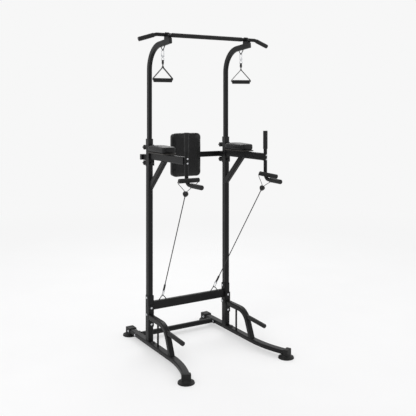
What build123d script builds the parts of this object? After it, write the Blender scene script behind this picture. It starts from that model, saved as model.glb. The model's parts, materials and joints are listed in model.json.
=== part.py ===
"""Power tower: two base rails, sleeved uprights, a sliding pull-up mast, dip arms, hanging handles and bands.

Millimetres, +Z up. The user stands at -Y facing +Y, +X is on the right in that view from the front.
The origin is on the floor, under the middle of the tower.
"""
from build123d import *
import os
from math import atan2, cos, degrees, pi, radians, sin, tan

SIDES = {"left": -1, "right": 1}
RUNNING_GAP = 0.3

# Uprights, the sleeves that hold them and the base rails
UPRIGHT_X = 321
UPRIGHT_Y = 172
UPRIGHT_WIDTH = 35
UPRIGHT_DEPTH = 50
UPRIGHT_TOP = 1437
UPRIGHT_FRONT = UPRIGHT_Y - UPRIGHT_DEPTH / 2
UPRIGHT_REAR = UPRIGHT_Y + UPRIGHT_DEPTH / 2
FRAME_RADIUS = 8
WALL = 2
SLEEVE_WIDTH = 40
SLEEVE_DEPTH = 55
SLEEVE_TOP = 370
SLEEVE_GAP = 0.3
SLEEVE_FRONT = UPRIGHT_Y - SLEEVE_DEPTH / 2
SLEEVE_REAR = UPRIGHT_Y + SLEEVE_DEPTH / 2
SLEEVE_INNER_X = UPRIGHT_X - SLEEVE_WIDTH / 2
SLEEVE_OUTER_X = UPRIGHT_X + SLEEVE_WIDTH / 2
RAIL_X = 326
RAIL_WIDTH = 50
RAIL_HEIGHT = 30
RAIL_TOP = 55
RAIL_REAR_END = 497
RAIL_BEND_START = -170
RAIL_BEND_RADIUS = 770
RAIL_BEND_ANGLE = 25
RAIL_Z = RAIL_TOP - RAIL_HEIGHT / 2

# Rubber feet
FOOT_RADIUS = 54
FOOT_EDGE = 9
FOOT_NECK_RADIUS = 28
FOOT_NECK_Z = 24
FRONT_FOOT = (389, -477)
REAR_FOOT = (330, 477)
BOOT_WIDTH = 60
BOOT_BOTTOM = 20
BOOT_TOP = 62
BOOT_COVER = 5
FRONT_BOOT_LENGTH = 36
REAR_BOOT_LENGTH = 67
BOOT_EDGE = 5

# Cross members between the two sides
REAR_TUBE_RADIUS = 19
REAR_TUBE_Y = 343
FLANGE = 4
REAR_FLANGE_LENGTH = 84
REAR_FLANGE_HEIGHT = 28
RAIL_BOLT_Z = 40
RAIL_OUTER_BOLT_Y = 349
RAIL_INNER_BOLT_Y = 314
FOOT_BOLT_Y = 452
BEAM_HEIGHT = 60
BEAM_DEPTH = 30
BEAM_Z = 296
BEAM_RADIUS = 6
BEAM_FLANGE_HEIGHT = 150
BEAM_FLANGE_DEPTH = 44
BEAM_BOLTS = (237, 355)

# Rod loops that the snap hooks hang on
ROD_RADIUS = 3
LOOP_BEND = 8
LOOP_HALF_WIDTH = 30
LOW_LOOP_X = 216
LOW_LOOP_TIP = 356
TOP_LOOP_Y = -33
TOP_LOOP_TIP = 2087
LOOP_RISE = 35

# Push-up braces
BRACE_X = 324
BRACE_SIZE = 36
BRACE_RADIUS = 7
BRACE_Z = 224
BRACE_BEND_Y = -15
BRACE_BEND_RADIUS = 112
BRACE_TURN = 66
BRACE_FLANGE_BOTTOM = 155
BRACE_FLANGE_TOP = 305
BRACE_BOLTS = (173, 287)
SUPPORT_ROD_RADIUS = 7
SUPPORT_ROD_Y = 33
PUSH_BAR_START = (-104, 190)
PUSH_BAR_END = (-318, 180)
PUSH_BAR_RADIUS = 11
PUSH_GRIP_START = 28
DOME_CAP_RADIUS = 17
DOME_CAP_HEIGHT = 12
DOME_CAP_Y = 104

# Collars, masts and the pull-up bar
COLLAR_HEIGHT = 40
COLLAR_WIDTH = 38
COLLAR_DEPTH = 53
COLLAR_SKIRT = 15
MAST_WIDTH = 25
MAST_DEPTH = 40
MAST_RADIUS = 6
MAST_BOTTOM = 1000
MAST_BEND_Z = 1962
MAST_BEND_RADIUS = 170
MAST_BEND_ANGLE = 85
MAST_ARM_LENGTH = 157.4
MAST_HOLE_PITCH = 50
MAST_HOLES = 7
BAR_RADIUS = 12.5
BAR_Y = -94
BAR_Z = 2187
BAR_BEND_X = 402
BAR_END = (520, -75, 2150)
BAR_BEND_RADIUS = 70
GRIP_GAP = 0.05
GRIP_RADIUS = 15
BAR_GRIP_HALF = 285
BAR_END_GRIP_START = 17
CLAMP_WIDTH = 24
CLAMP_DEPTH = 40
CLAMP_RADIUS = 17.5
CLAMP_FRONT = -136
CLAMP_EASE = 8
CLAMP_BOTTOM = 2155
CLAMP_BOLT_Z = 2169.5
CLAMP_BOLT_ENDS = (
    (UPRIGHT_X, BAR_Y - CLAMP_DEPTH / 2, CLAMP_BOLT_Z),
    (UPRIGHT_X, BAR_Y + CLAMP_DEPTH / 2 + 7, CLAMP_BOLT_Z),
)
CAP_THICKNESS = 4

# Dip arms, struts, pads and handles
ARM_X = 316
ARM_WIDTH = 28
ARM_HEIGHT = 50
ARM_BOTTOM = 1332
ARM_TOP = ARM_BOTTOM + ARM_HEIGHT
ARM_FRONT = -329
ARM_FLANGE_X = 319
ARM_FLANGE_WIDTH = 44
ARM_FLANGE_BOTTOM = 1288
ARM_FLANGE_TOP = 1436
ARM_BOLTS = (1308, 1426)
ARM_BOLT_CAP_RADIUS = 9
ARM_BOLT_CAP_LENGTH = 24
STRUT_LOW_Z = 1149
STRUT_ANGLE = 43.2
STRUT_HEIGHT = 40
BOARD_THICKNESS = 8
ARM_PAD_X = 317
ARM_PAD_Y = -10
ARM_PAD_WIDTH = 108
ARM_PAD_LENGTH = 244
ARM_PAD_HEIGHT = 47
HANDLE_RADIUS = 12.5
HANDLE_X = 312
HANDLE_Y = -345.5
HANDLE_TOP = 1534
HANDLE_LOW = 1205
HOOK_END = (305, -522, 1203)
HANDLE_BEND = 40
HANDLE_GRIP_RADIUS = 15.5
HANDLE_GRIP_LOW = 1413
HOOK_GRIP_START = -402
HANDLE_BOLTS = (1341, 1370)
SADDLE_WIDTH = 24

# Backrest
BACK_WIDTH = 247
BACK_BOTTOM = 1186
BACK_TOP = 1512
BACK_FRONT = 196
BACK_THICKNESS = 38
BACK_BOARD = 10
BACK_CORNER = 32
CROSSBAR_Y = 244
CROSSBAR_DEPTH = 25
CROSSBAR_HEIGHT = 40
CROSSBAR_Z = 1344
CROSSBAR_HALF = 346
BRACKET_WIDTH = 30
BRACKET_PLATE = 34
BRACKET_PLATE_BOTTOM = 1283
BACK_SCREW_X = 80

# Clamping knobs
KNOB_RADIUS = 19
KNOB_LOBES = 6
KNOB_HUB_RADIUS = 9
KNOB_FRONT = 215
KNOB_DEPTH = 35
KNOB_STEM_RADIUS = 4
MAST_KNOB_Z = 1414
BACK_KNOB_Z = 1303

# Bolts
BOLT_RADIUS = 4
BOLT_CLEARANCE = 0.1
BOLT_HEAD_RADIUS = 7.5
BOLT_HEAD_HEIGHT = 4.5
NUT_FLATS = 13
NUT_HEIGHT = 6.5
SMALL_BOLT_SCALE = 0.75
SMALL_BOLT_RADIUS = BOLT_RADIUS * SMALL_BOLT_SCALE

# Swivel snap hooks, measured down from the rod they hang on
HOOK_WIRE = 2.5
HOOK_HALF = 8.5
HOOK_TOP = ROD_RADIUS + HOOK_WIRE + RUNNING_GAP
HOOK_NOSE = -8
HOOK_BLOCK_TOP = -37
HOOK_BLOCK_BOTTOM = -45
HOOK_BLOCK_WIDTH = 22
HOOK_BLOCK_DEPTH = 8
GATE_PIVOT_Z = -29
GATE_RADIUS = 1.7
GATE_HALF_WIDTH = 2
GATE_PIN_RADIUS = 1
GATE_END = HOOK_NOSE - 0.4
LUG_INNER = 2.3
LUG_OUTER = 3.6
LUG_RADIUS = 2.8
SWIVEL_PIN_RADIUS = 2.5
SWIVEL_HEAD_RADIUS = 4
EYE_TOP = -46
EYE_BAR_Z = -70
EYE_HALF = 9
EYE_WIRE = 3.5

# Hanging handles, measured down from the same rod
STRAP_WIDTH = 20
STRAP_THICKNESS = 3
STRAP_LOOP_WIDTH = 13
STRAP_LOOP_INNER = 2.5
STRAP_LOOP_OUTER = 4.6
STRAP_TWIST_Z = -94
STRAP_APEX = -114
STRAP_SIDE = 71
STRAP_KNEE = -191
STIRRUP_Z = -203
STRAP_BEND = 5
STIRRUP_GRIP_RADIUS = 14.25
STIRRUP_BORE = 10.6
STIRRUP_CORE = 11.5
STIRRUP_GRIP_LENGTH = 129
GRIP_CAP = 3
YAW = {"left": -5, "right": -22}

# Resistance bands, from the low loops to the crook of the dip handles
STOPPER_CENTRE = (304, -316, 1137)
STOPPER_LENGTH = 36
STOPPER_RADIUS = 19
FERRULE_START = 51
FERRULE_END = 110
FERRULE_RADIUS = 7
BAND_CORD_RADIUS = 3.25
HANDLE_CORD_RADIUS = 2
CORD_SPREAD = 6
CORD_EXIT_RUN = 8
CORD_TURN_OUT = 7
CORD_TURN_DROP = 15
BAND_GRIP_LENGTH = 145
BAND_GRIP_BORE = 3
BAND_GRIP_TILT = {"left": 0, "right": 12}
CROOK_OFFSET = {"left": 12.2, "right": 11.2}


def tube_plane(origin, direction, x_dir):
    """A plane at one end of a tube, looking along it."""
    return Plane(origin=origin, x_dir=x_dir, z_dir=direction)


def solid_bar(start, end, section, x_dir):
    """A straight bar of any section from start to end."""
    run = Vector(*end) - Vector(*start)
    return extrude(tube_plane(start, run, x_dir) * section, run.length)


def rod(start, end, radius):
    """A straight round rod."""
    run = Vector(*end) - Vector(*start)
    x_dir = (1, 0, 0) if abs(run.normalized().X) < 0.9 else (0, 1, 0)
    return solid_bar(start, end, Circle(radius), x_dir)


def pipe(start, end, outer, inner):
    """A straight round tube."""
    return rod(start, end, outer) - rod(start, end, inner)


def box_between(low, high):
    """A box given by two opposite corners."""
    size = [b - a for a, b in zip(low, high)]
    middle = [(a + b) / 2 for a, b in zip(low, high)]
    return Pos(*middle) * Box(*size)


def rounded(width, height, radius, inset=0):
    """The section of a rounded rectangular tube, or of its hollow when inset by the wall."""
    return RectangleRounded(width - 2 * inset, height - 2 * inset, radius - inset)


def sweep_along(path, section, x_dir):
    """A section swept along a path, from its first point."""
    return sweep(tube_plane(path @ 0, path % 0, x_dir) * section, path=path)


def both_sides(shape):
    """A right-hand shape and its mirror image."""
    return [shape, mirror(shape, about=Plane.YZ)]


def side_of(shape, side):
    """A right-hand shape, mirrored when it belongs to the left side."""
    return shape if side == "right" else mirror(shape, about=Plane.YZ)


def bolt_hole(start, end, radius=BOLT_RADIUS):
    """The clearance hole of a bolt."""
    return rod(start, end, radius + BOLT_CLEARANCE)


def button_bolt(head, tip, nut_at=None, scale=1.0):
    """A button-head bolt whose head seats at head, and its nut, seated nut_at millimetres along it."""
    axis = (Vector(*tip) - Vector(*head)).normalized()
    head_point = Vector(*head)
    x_dir = (0, 0, 1)
    height = BOLT_HEAD_HEIGHT * scale
    radius = BOLT_RADIUS * scale
    seat = Plane(origin=head_point, x_dir=x_dir, z_dir=-axis)
    dome = extrude(seat * Circle(BOLT_HEAD_RADIUS * scale), height)
    dome = fillet(dome.faces().sort_by(Axis(head, -axis)).last.edges(), height * 0.6)
    socket = extrude(seat.offset(height) * RegularPolygon(2.9 * scale, 6), -height * 0.55)
    pieces = [dome + rod(head, tip, radius) - socket]
    if nut_at is not None:
        nut_plane = Plane(origin=head_point + axis * nut_at, x_dir=x_dir, z_dir=axis)
        hexagon = RegularPolygon(NUT_FLATS * scale / 2, 6, major_radius=False)
        pieces.append(extrude(nut_plane * (hexagon - Circle(radius + GRIP_GAP)), NUT_HEIGHT * scale))
    return pieces


# Base

def rail_path():
    """The middle line of the right rail, from the rear end to the toed-out front end."""
    start = (RAIL_X, RAIL_REAR_END, RAIL_Z)
    bend = (RAIL_X, RAIL_BEND_START, RAIL_Z)
    turn = radians(RAIL_BEND_ANGLE)
    reach = RAIL_BEND_RADIUS * sin(turn)
    spread = RAIL_BEND_RADIUS * (1 - cos(turn))
    end = (RAIL_X + spread, RAIL_BEND_START - reach, RAIL_Z)
    return Line(start, bend) + TangentArc(bend, end, tangent=(0, -1, 0))


def rail_shape(inset=0):
    """The right rail's outer shape, or its hollow."""
    return sweep_along(rail_path(), rounded(RAIL_WIDTH, RAIL_HEIGHT, FRAME_RADIUS, inset), (1, 0, 0))


def upright_shape(width, depth, radius, low, high):
    """A bar of rounded rectangular section standing on the right upright's axis."""
    plane = Plane(origin=(UPRIGHT_X, UPRIGHT_Y, low), x_dir=(1, 0, 0), z_dir=(0, 0, 1))
    return extrude(plane * RectangleRounded(width, depth, radius), high - low)


def lower_frame_holes():
    """Clearance holes through the right sleeve and upright for the beam and brace bolts."""
    holes = []
    for z in BEAM_BOLTS:
        holes.append(bolt_hole((SLEEVE_INNER_X - 20, UPRIGHT_Y, z), (SLEEVE_OUTER_X + 20, UPRIGHT_Y, z)))
    for z in BRACE_BOLTS:
        holes.append(bolt_hole((UPRIGHT_X, SLEEVE_FRONT - 20, z), (UPRIGHT_X, SLEEVE_REAR + 20, z)))
    return holes


def rail_holes():
    """Clearance holes through the right rail for the cross tube and rear foot bolts."""
    inner = RAIL_X - RAIL_WIDTH / 2
    outer = RAIL_X + RAIL_WIDTH / 2
    return [
        bolt_hole((inner - 10, RAIL_OUTER_BOLT_Y, RAIL_BOLT_Z), (outer + 10, RAIL_OUTER_BOLT_Y, RAIL_BOLT_Z)),
        bolt_hole((inner - 10, RAIL_INNER_BOLT_Y, RAIL_BOLT_Z), (inner + 10, RAIL_INNER_BOLT_Y, RAIL_BOLT_Z)),
        bolt_hole((inner - 10, FOOT_BOLT_Y, RAIL_BOLT_Z), (outer + 10, FOOT_BOLT_Y, RAIL_BOLT_Z)),
    ]


def base_rail():
    """The right rail with the sleeve that is welded on it."""
    sleeve = upright_shape(SLEEVE_WIDTH, SLEEVE_DEPTH, FRAME_RADIUS + 1, RAIL_Z, SLEEVE_TOP)
    inside_width = UPRIGHT_WIDTH + 2 * SLEEVE_GAP
    inside_depth = UPRIGHT_DEPTH + 2 * SLEEVE_GAP
    inside = upright_shape(inside_width, inside_depth, FRAME_RADIUS + SLEEVE_GAP, RAIL_TOP, SLEEVE_TOP)
    return rail_shape() + sleeve - rail_shape(WALL) - inside - lower_frame_holes() - rail_holes()


def foot_disc(x, y):
    """A round rubber base with a hollowed flank, on the floor."""
    edge = Line((0, 0), (FOOT_RADIUS, 0)) + Line((FOOT_RADIUS, 0), (FOOT_RADIUS - 2, FOOT_EDGE))
    flank = ThreePointArc((FOOT_RADIUS - 2, FOOT_EDGE), (37, 13.5), (FOOT_NECK_RADIUS, FOOT_NECK_Z))
    top = Line((FOOT_NECK_RADIUS, FOOT_NECK_Z), (0, FOOT_NECK_Z)) + Line((0, FOOT_NECK_Z), (0, 0))
    profile = Plane.XZ * make_face(edge + flank + top)
    return Pos(x, y, 0) * revolve(profile, Axis.Z)


def boot(end, direction, length):
    """A rubber boot over a rail's end, open only where the rail enters it."""
    middle = Vector(*end) + Vector(*direction) * (BOOT_COVER - length / 2)
    height = BOOT_TOP - BOOT_BOTTOM
    turn = degrees(atan2(direction[1], direction[0]))
    block = Box(length, BOOT_WIDTH, height)
    block = fillet(block.edges().filter_by(Axis.Z) + block.edges().group_by(Axis.Z)[-1], BOOT_EDGE)
    return Pos(middle.X, middle.Y, BOOT_BOTTOM + height / 2) * Rot(0, 0, turn) * block


def front_foot():
    """The right front foot."""
    path = rail_path()
    end = path @ 1
    direction = path % 1
    shape = foot_disc(*FRONT_FOOT) + boot((end.X, end.Y, 0), (direction.X, direction.Y, 0), FRONT_BOOT_LENGTH)
    return shape - rail_shape()


def rear_foot():
    """The right rear foot, with its through hole."""
    shape = foot_disc(*REAR_FOOT) + boot((RAIL_X, RAIL_REAR_END, 0), (0, 1, 0), REAR_BOOT_LENGTH)
    half = BOOT_WIDTH / 2 + 5
    hole = bolt_hole((RAIL_X - half, FOOT_BOLT_Y, RAIL_BOLT_Z), (RAIL_X + half, FOOT_BOLT_Y, RAIL_BOLT_Z))
    return shape - rail_shape() - hole


def rear_cross_tube():
    """The round tube between the rails, with a flange at each end."""
    inner = RAIL_X - RAIL_WIDTH / 2
    ends = (-inner, REAR_TUBE_Y, RAIL_Z), (inner, REAR_TUBE_Y, RAIL_Z)
    tube = rod(*ends, REAR_TUBE_RADIUS)
    flange = box_between(
        (inner - FLANGE, REAR_TUBE_Y - REAR_FLANGE_LENGTH / 2, RAIL_Z - REAR_FLANGE_HEIGHT / 2),
        (inner, REAR_TUBE_Y + REAR_FLANGE_LENGTH / 2, RAIL_Z + REAR_FLANGE_HEIGHT / 2),
    )
    hollow = rod((FLANGE - inner, *ends[0][1:]), (inner - FLANGE, *ends[0][1:]), REAR_TUBE_RADIUS - WALL)
    shape = tube + both_sides(flange) - hollow
    for hole in rail_holes():
        shape -= both_sides(hole)
    return shape


# Push-up station

def brace_path():
    """The right brace's middle line, from the sleeve forward and down to the rail."""
    turn = radians(BRACE_TURN)
    start = (BRACE_X, SLEEVE_FRONT - FLANGE, BRACE_Z)
    bend = (BRACE_X, BRACE_BEND_Y, BRACE_Z)
    after = (
        BRACE_X,
        BRACE_BEND_Y - BRACE_BEND_RADIUS * sin(turn),
        BRACE_Z - BRACE_BEND_RADIUS * (1 - cos(turn)),
    )
    drop = after[2] - RAIL_Z
    foot = (BRACE_X, after[1] - drop / tan(turn), RAIL_Z)
    return Line(start, bend) + TangentArc(bend, after, tangent=(0, -1, 0)) + Line(after, foot)


def push_bar_point(distance):
    """A point on the right push-up bar's axis."""
    run = (Vector(0, *PUSH_BAR_END) - Vector(0, *PUSH_BAR_START)).normalized()
    y, z = PUSH_BAR_START
    return (BRACE_X, y + run.Y * distance, z + run.Z * distance)


def push_up_brace():
    """The right brace: bent square tube, its flange, the push-up bar and the support rod."""
    path = brace_path()
    section = rounded(BRACE_SIZE, BRACE_SIZE, BRACE_RADIUS)
    hollow = sweep_along(path, rounded(BRACE_SIZE, BRACE_SIZE, BRACE_RADIUS, WALL), (1, 0, 0))
    half = SLEEVE_WIDTH / 2
    flange = box_between(
        (UPRIGHT_X - half, SLEEVE_FRONT - FLANGE, BRACE_FLANGE_BOTTOM),
        (UPRIGHT_X + half, SLEEVE_FRONT, BRACE_FLANGE_TOP),
    )
    bar = rod(push_bar_point(0), (BRACE_X, *PUSH_BAR_END), PUSH_BAR_RADIUS)
    bore = rod(push_bar_point(PUSH_GRIP_START), (BRACE_X, *PUSH_BAR_END), PUSH_BAR_RADIUS - WALL)
    support_base = (BRACE_X, SUPPORT_ROD_Y, RAIL_TOP)
    support = rod(support_base, (BRACE_X, SUPPORT_ROD_Y, BRACE_Z - BRACE_SIZE / 2 + 1), SUPPORT_ROD_RADIUS)
    below = box_between((BRACE_X - 40, -300, 0), (BRACE_X + 40, 0, RAIL_TOP))
    shape = sweep_along(path, section, (1, 0, 0)) + bar + support - hollow - bore - below + flange
    return shape - lower_frame_holes()


def push_up_grip():
    """The foam on the right push-up bar."""
    start = push_bar_point(PUSH_GRIP_START)
    return pipe(start, (BRACE_X, *PUSH_BAR_END), GRIP_RADIUS, PUSH_BAR_RADIUS + GRIP_GAP)


def dome_cap():
    """The domed plug on top of the right rail."""
    rise = DOME_CAP_HEIGHT
    ball = (DOME_CAP_RADIUS ** 2 + rise ** 2) / (2 * rise)
    centre = Pos(RAIL_X, DOME_CAP_Y, RAIL_TOP + rise - ball)
    return centre * Sphere(ball) & Pos(RAIL_X, DOME_CAP_Y, RAIL_TOP + ball) * Cylinder(2 * ball, 2 * ball)


# Lower cross beam and loops

def lower_crossbeam():
    """The deep beam between the two sleeves, with its bolting flanges."""
    section = rounded(BEAM_DEPTH, BEAM_HEIGHT, BEAM_RADIUS)
    hollow = rounded(BEAM_DEPTH, BEAM_HEIGHT, BEAM_RADIUS, WALL)
    reach = SLEEVE_INNER_X - FLANGE
    ends = (-reach, UPRIGHT_Y, BEAM_Z), (reach, UPRIGHT_Y, BEAM_Z)
    half = BEAM_FLANGE_DEPTH / 2
    flange = box_between(
        (reach, UPRIGHT_Y - half, BEAM_Z - BEAM_FLANGE_HEIGHT / 2),
        (SLEEVE_INNER_X, UPRIGHT_Y + half, BEAM_Z + BEAM_FLANGE_HEIGHT / 2),
    )
    for hole in lower_frame_holes():
        flange -= hole
    beam = solid_bar(*ends, section, (0, 1, 0)) - solid_bar(*ends, hollow, (0, 1, 0))
    return beam + both_sides(flange)


def rod_loop(tip, across, towards_ends):
    """A V of round rod whose bend is at tip. across and towards_ends are unit directions."""
    tip, across, rise = Vector(*tip), Vector(*across), Vector(*towards_ends)
    half_turn = atan2(LOOP_RISE, LOOP_HALF_WIDTH)
    corner = tip - rise * LOOP_BEND * (1 / cos(half_turn) - 1)
    ends = [corner + across * LOOP_HALF_WIDTH * k + rise * LOOP_RISE for k in (-1, 1)]
    path = FilletPolyline(ends[0], corner, ends[1], radius=LOOP_BEND)
    return sweep_along(path, Circle(ROD_RADIUS), across.cross(rise))


def low_loop():
    """The right loop on top of the cross beam, trimmed flush with the beam."""
    loop = rod_loop((LOW_LOOP_X, UPRIGHT_Y, LOW_LOOP_TIP), (1, 0, 0), (0, 0, -1))
    beam_top = BEAM_Z + BEAM_HEIGHT / 2
    return loop - box_between((0, 0, beam_top - 50), (UPRIGHT_X, UPRIGHT_Y * 2, beam_top))


# Uprights and masts

def knob_boss(front, z):
    """The threaded boss that a knob's stud screws through."""
    return rod((UPRIGHT_X, front, z), (UPRIGHT_X, KNOB_FRONT - 1, z), KNOB_HUB_RADIUS)


def upright():
    """The right upright: a tube with the threaded boss of the mast knob behind it."""
    tube = upright_shape(UPRIGHT_WIDTH, UPRIGHT_DEPTH, FRAME_RADIUS, RAIL_TOP, UPRIGHT_TOP)
    inside_width = UPRIGHT_WIDTH - 2 * WALL
    inside_depth = UPRIGHT_DEPTH - 2 * WALL
    hollow = upright_shape(inside_width, inside_depth, FRAME_RADIUS - WALL, RAIL_TOP, UPRIGHT_TOP)
    shape = tube + knob_boss(UPRIGHT_REAR - 1, MAST_KNOB_Z) - hollow
    for z in (MAST_KNOB_Z, BACK_KNOB_Z):
        shape -= bolt_hole((UPRIGHT_X, UPRIGHT_Y, z), (UPRIGHT_X, KNOB_FRONT, z))
    for z in ARM_BOLTS:
        shape -= bolt_hole((ARM_FLANGE_X, UPRIGHT_FRONT - 5, z), (ARM_FLANGE_X, UPRIGHT_FRONT + 5, z))
    return shape - lower_frame_holes()


def collar():
    """The plastic guide in the right upright's mouth."""
    top = UPRIGHT_TOP + COLLAR_HEIGHT
    body = upright_shape(COLLAR_WIDTH, COLLAR_DEPTH, FRAME_RADIUS + 1, UPRIGHT_TOP, top)
    body = fillet(body.edges().group_by(Axis.Z)[-1], 2)
    play = 0.2
    skirt = upright_shape(
        UPRIGHT_WIDTH - 2 * (WALL + play), UPRIGHT_DEPTH - 2 * (WALL + play), FRAME_RADIUS - WALL,
        UPRIGHT_TOP - COLLAR_SKIRT, UPRIGHT_TOP,
    )
    passage = upright_shape(
        MAST_WIDTH + 2 * RUNNING_GAP, MAST_DEPTH + 2 * RUNNING_GAP, MAST_RADIUS + RUNNING_GAP,
        UPRIGHT_TOP - COLLAR_SKIRT, top,
    )
    return body + skirt - passage - skirt_notches()


def skirt_notches():
    """Room in the skirt for the mast knob's stud behind and for the upper arm bolt in front."""
    room = BOLT_RADIUS + 1
    bolt_z = max(ARM_BOLTS)
    behind = bolt_hole((UPRIGHT_X, UPRIGHT_Y, MAST_KNOB_Z), (UPRIGHT_X, UPRIGHT_REAR, MAST_KNOB_Z), room)
    in_front = bolt_hole((ARM_FLANGE_X, UPRIGHT_FRONT, bolt_z), (ARM_FLANGE_X, UPRIGHT_Y, bolt_z), room)
    return [behind, in_front]


def mast_arm_point(distance):
    """A point on the right mast's sloping arm, measured from the end of the bend."""
    turn = radians(MAST_BEND_ANGLE)
    y = UPRIGHT_Y - MAST_BEND_RADIUS * (1 - cos(turn)) - distance * sin(turn)
    z = MAST_BEND_Z + MAST_BEND_RADIUS * sin(turn) + distance * cos(turn)
    return (UPRIGHT_X, y, z)


def mast_path():
    """The right mast's middle line, from its foot inside the upright to the arm's end."""
    foot = (UPRIGHT_X, UPRIGHT_Y, MAST_BOTTOM)
    bend = (UPRIGHT_X, UPRIGHT_Y, MAST_BEND_Z)
    arm = Line(mast_arm_point(0), mast_arm_point(MAST_ARM_LENGTH))
    return Line(foot, bend) + TangentArc(bend, mast_arm_point(0), tangent=(0, 0, 1)) + arm


def mast_shape(inset=0):
    """The right mast's outer shape, or its hollow."""
    return sweep_along(mast_path(), rounded(MAST_WIDTH, MAST_DEPTH, MAST_RADIUS, inset), (1, 0, 0))


def mast():
    """The right mast, with the row of height holes behind it."""
    shape = mast_shape() - mast_shape(WALL)
    for k in range(MAST_HOLES):
        z = MAST_KNOB_Z + k * MAST_HOLE_PITCH
        shape -= bolt_hole((UPRIGHT_X, UPRIGHT_Y, z), (UPRIGHT_X, UPRIGHT_REAR, z))
    return shape


def top_loop():
    """The right loop under the mast's arm, trimmed to the arm."""
    return rod_loop((UPRIGHT_X, TOP_LOOP_Y, TOP_LOOP_TIP), (0, 1, 0), (0, 0, 1)) - mast_shape()


# Pull-up bar

def bar_path():
    """The pull-up bar's middle line."""
    end_x, end_y, end_z = BAR_END
    left = (-end_x, end_y, end_z), (-BAR_BEND_X, BAR_Y, BAR_Z)
    right = (BAR_BEND_X, BAR_Y, BAR_Z), BAR_END
    return FilletPolyline(*left, *right, radius=BAR_BEND_RADIUS)


def bar_shape(radius):
    """A round bar of this radius along the pull-up bar's line."""
    return sweep_along(bar_path(), Circle(radius), (0, 0, 1))


def bar_end_point(distance):
    """A point on the right drooping end of the bar, measured out from its corner."""
    corner = Vector(BAR_BEND_X, BAR_Y, BAR_Z)
    run = (Vector(*BAR_END) - corner).normalized()
    point = corner + run * distance
    return (point.X, point.Y, point.Z)


def bar_grips():
    """The middle sleeve of foam and the two end sleeves."""
    inner = BAR_RADIUS + GRIP_GAP
    middle = pipe((-BAR_GRIP_HALF, BAR_Y, BAR_Z), (BAR_GRIP_HALF, BAR_Y, BAR_Z), GRIP_RADIUS, inner)
    end = pipe(bar_end_point(BAR_END_GRIP_START), BAR_END, GRIP_RADIUS, inner)
    return [middle, *both_sides(end)]


def bar_clamp():
    """The right saddle that carries the bar on the mast's arm."""
    half = CLAMP_WIDTH / 2
    rear = BAR_Y + CLAMP_DEPTH / 2
    block = box_between((UPRIGHT_X - half, CLAMP_FRONT, CLAMP_BOTTOM), (UPRIGHT_X + half, rear, BAR_Z))
    block = fillet(block.edges().filter_by(Axis.X).group_by(Axis.Z)[-1], CLAMP_EASE)
    ends = (UPRIGHT_X - half, BAR_Y, BAR_Z), (UPRIGHT_X + half, BAR_Y, BAR_Z)
    hole = bolt_hole(*CLAMP_BOLT_ENDS, SMALL_BOLT_RADIUS)
    seat = CLAMP_BOLT_ENDS[0]
    pocket = rod((UPRIGHT_X, CLAMP_FRONT, CLAMP_BOLT_Z), seat, BOLT_HEAD_RADIUS * SMALL_BOLT_SCALE + 0.4)
    saddle = block + rod(*ends, CLAMP_RADIUS) - rod(*ends, BAR_RADIUS + GRIP_GAP)
    return saddle - mast_shape() - hole - pocket


# Dip arms and handles

def dip_arm():
    """The right dip arm: box tube, flange at the upright and saddle at the handle."""
    section = rounded(ARM_WIDTH, ARM_HEIGHT, BEAM_RADIUS)
    hollow = rounded(ARM_WIDTH, ARM_HEIGHT, BEAM_RADIUS, WALL)
    z = ARM_BOTTOM + ARM_HEIGHT / 2
    back, front = UPRIGHT_FRONT - FLANGE, ARM_FRONT
    tube = solid_bar((ARM_X, back, z), (ARM_X, front, z), section, (1, 0, 0))
    tube -= solid_bar((ARM_X, back, z), (ARM_X, front + FLANGE, z), hollow, (1, 0, 0))
    low = (ARM_FLANGE_X - ARM_FLANGE_WIDTH / 2, back, ARM_FLANGE_BOTTOM)
    high = (ARM_FLANGE_X + ARM_FLANGE_WIDTH / 2, UPRIGHT_FRONT, ARM_FLANGE_TOP)
    flange = box_between(low, high)
    half = SADDLE_WIDTH / 2
    saddle = box_between((HANDLE_X - half, HANDLE_Y, ARM_BOTTOM), (HANDLE_X + half, front, ARM_TOP))
    tube_room = rod((HANDLE_X, HANDLE_Y, ARM_BOTTOM), (HANDLE_X, HANDLE_Y, ARM_TOP), HANDLE_RADIUS + GRIP_GAP)
    shape = tube + flange + saddle - tube_room
    for z in ARM_BOLTS:
        shape -= bolt_hole((ARM_FLANGE_X, back - 5, z), (ARM_FLANGE_X, UPRIGHT_FRONT, z))
    return shape - handle_holes()


def handle_holes():
    """Clearance holes through the right handle, saddle and arm end for the handle bolts."""
    ends = HANDLE_Y - 20, ARM_FRONT + 10
    return [bolt_hole(*[(HANDLE_X, y, z) for y in ends], SMALL_BOLT_RADIUS) for z in HANDLE_BOLTS]


def dip_strut():
    """The right diagonal strut between the upright and the arm."""
    slope = radians(STRUT_ANGLE)
    reach = (ARM_BOTTOM - STRUT_LOW_Z) / sin(slope)
    extra = 60
    low = (ARM_X, UPRIGHT_FRONT + extra * cos(slope), STRUT_LOW_Z - extra * sin(slope))
    high_reach = reach + extra
    high = (ARM_X, UPRIGHT_FRONT - high_reach * cos(slope), STRUT_LOW_Z + high_reach * sin(slope))
    section = rounded(ARM_WIDTH, STRUT_HEIGHT, BEAM_RADIUS)
    hollow = rounded(ARM_WIDTH, STRUT_HEIGHT, BEAM_RADIUS, WALL)
    tube = solid_bar(low, high, section, (1, 0, 0)) - solid_bar(low, high, hollow, (1, 0, 0))
    keep = box_between((0, -400, 1000), (2 * ARM_X, UPRIGHT_FRONT, ARM_BOTTOM))
    return tube & keep


def handle_path():
    """The right dip handle's middle line, from its top to the end of the hook."""
    top = (HANDLE_X, HANDLE_Y, HANDLE_TOP)
    return FilletPolyline(top, (HANDLE_X, HANDLE_Y, HANDLE_LOW), HOOK_END, radius=HANDLE_BEND)


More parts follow.
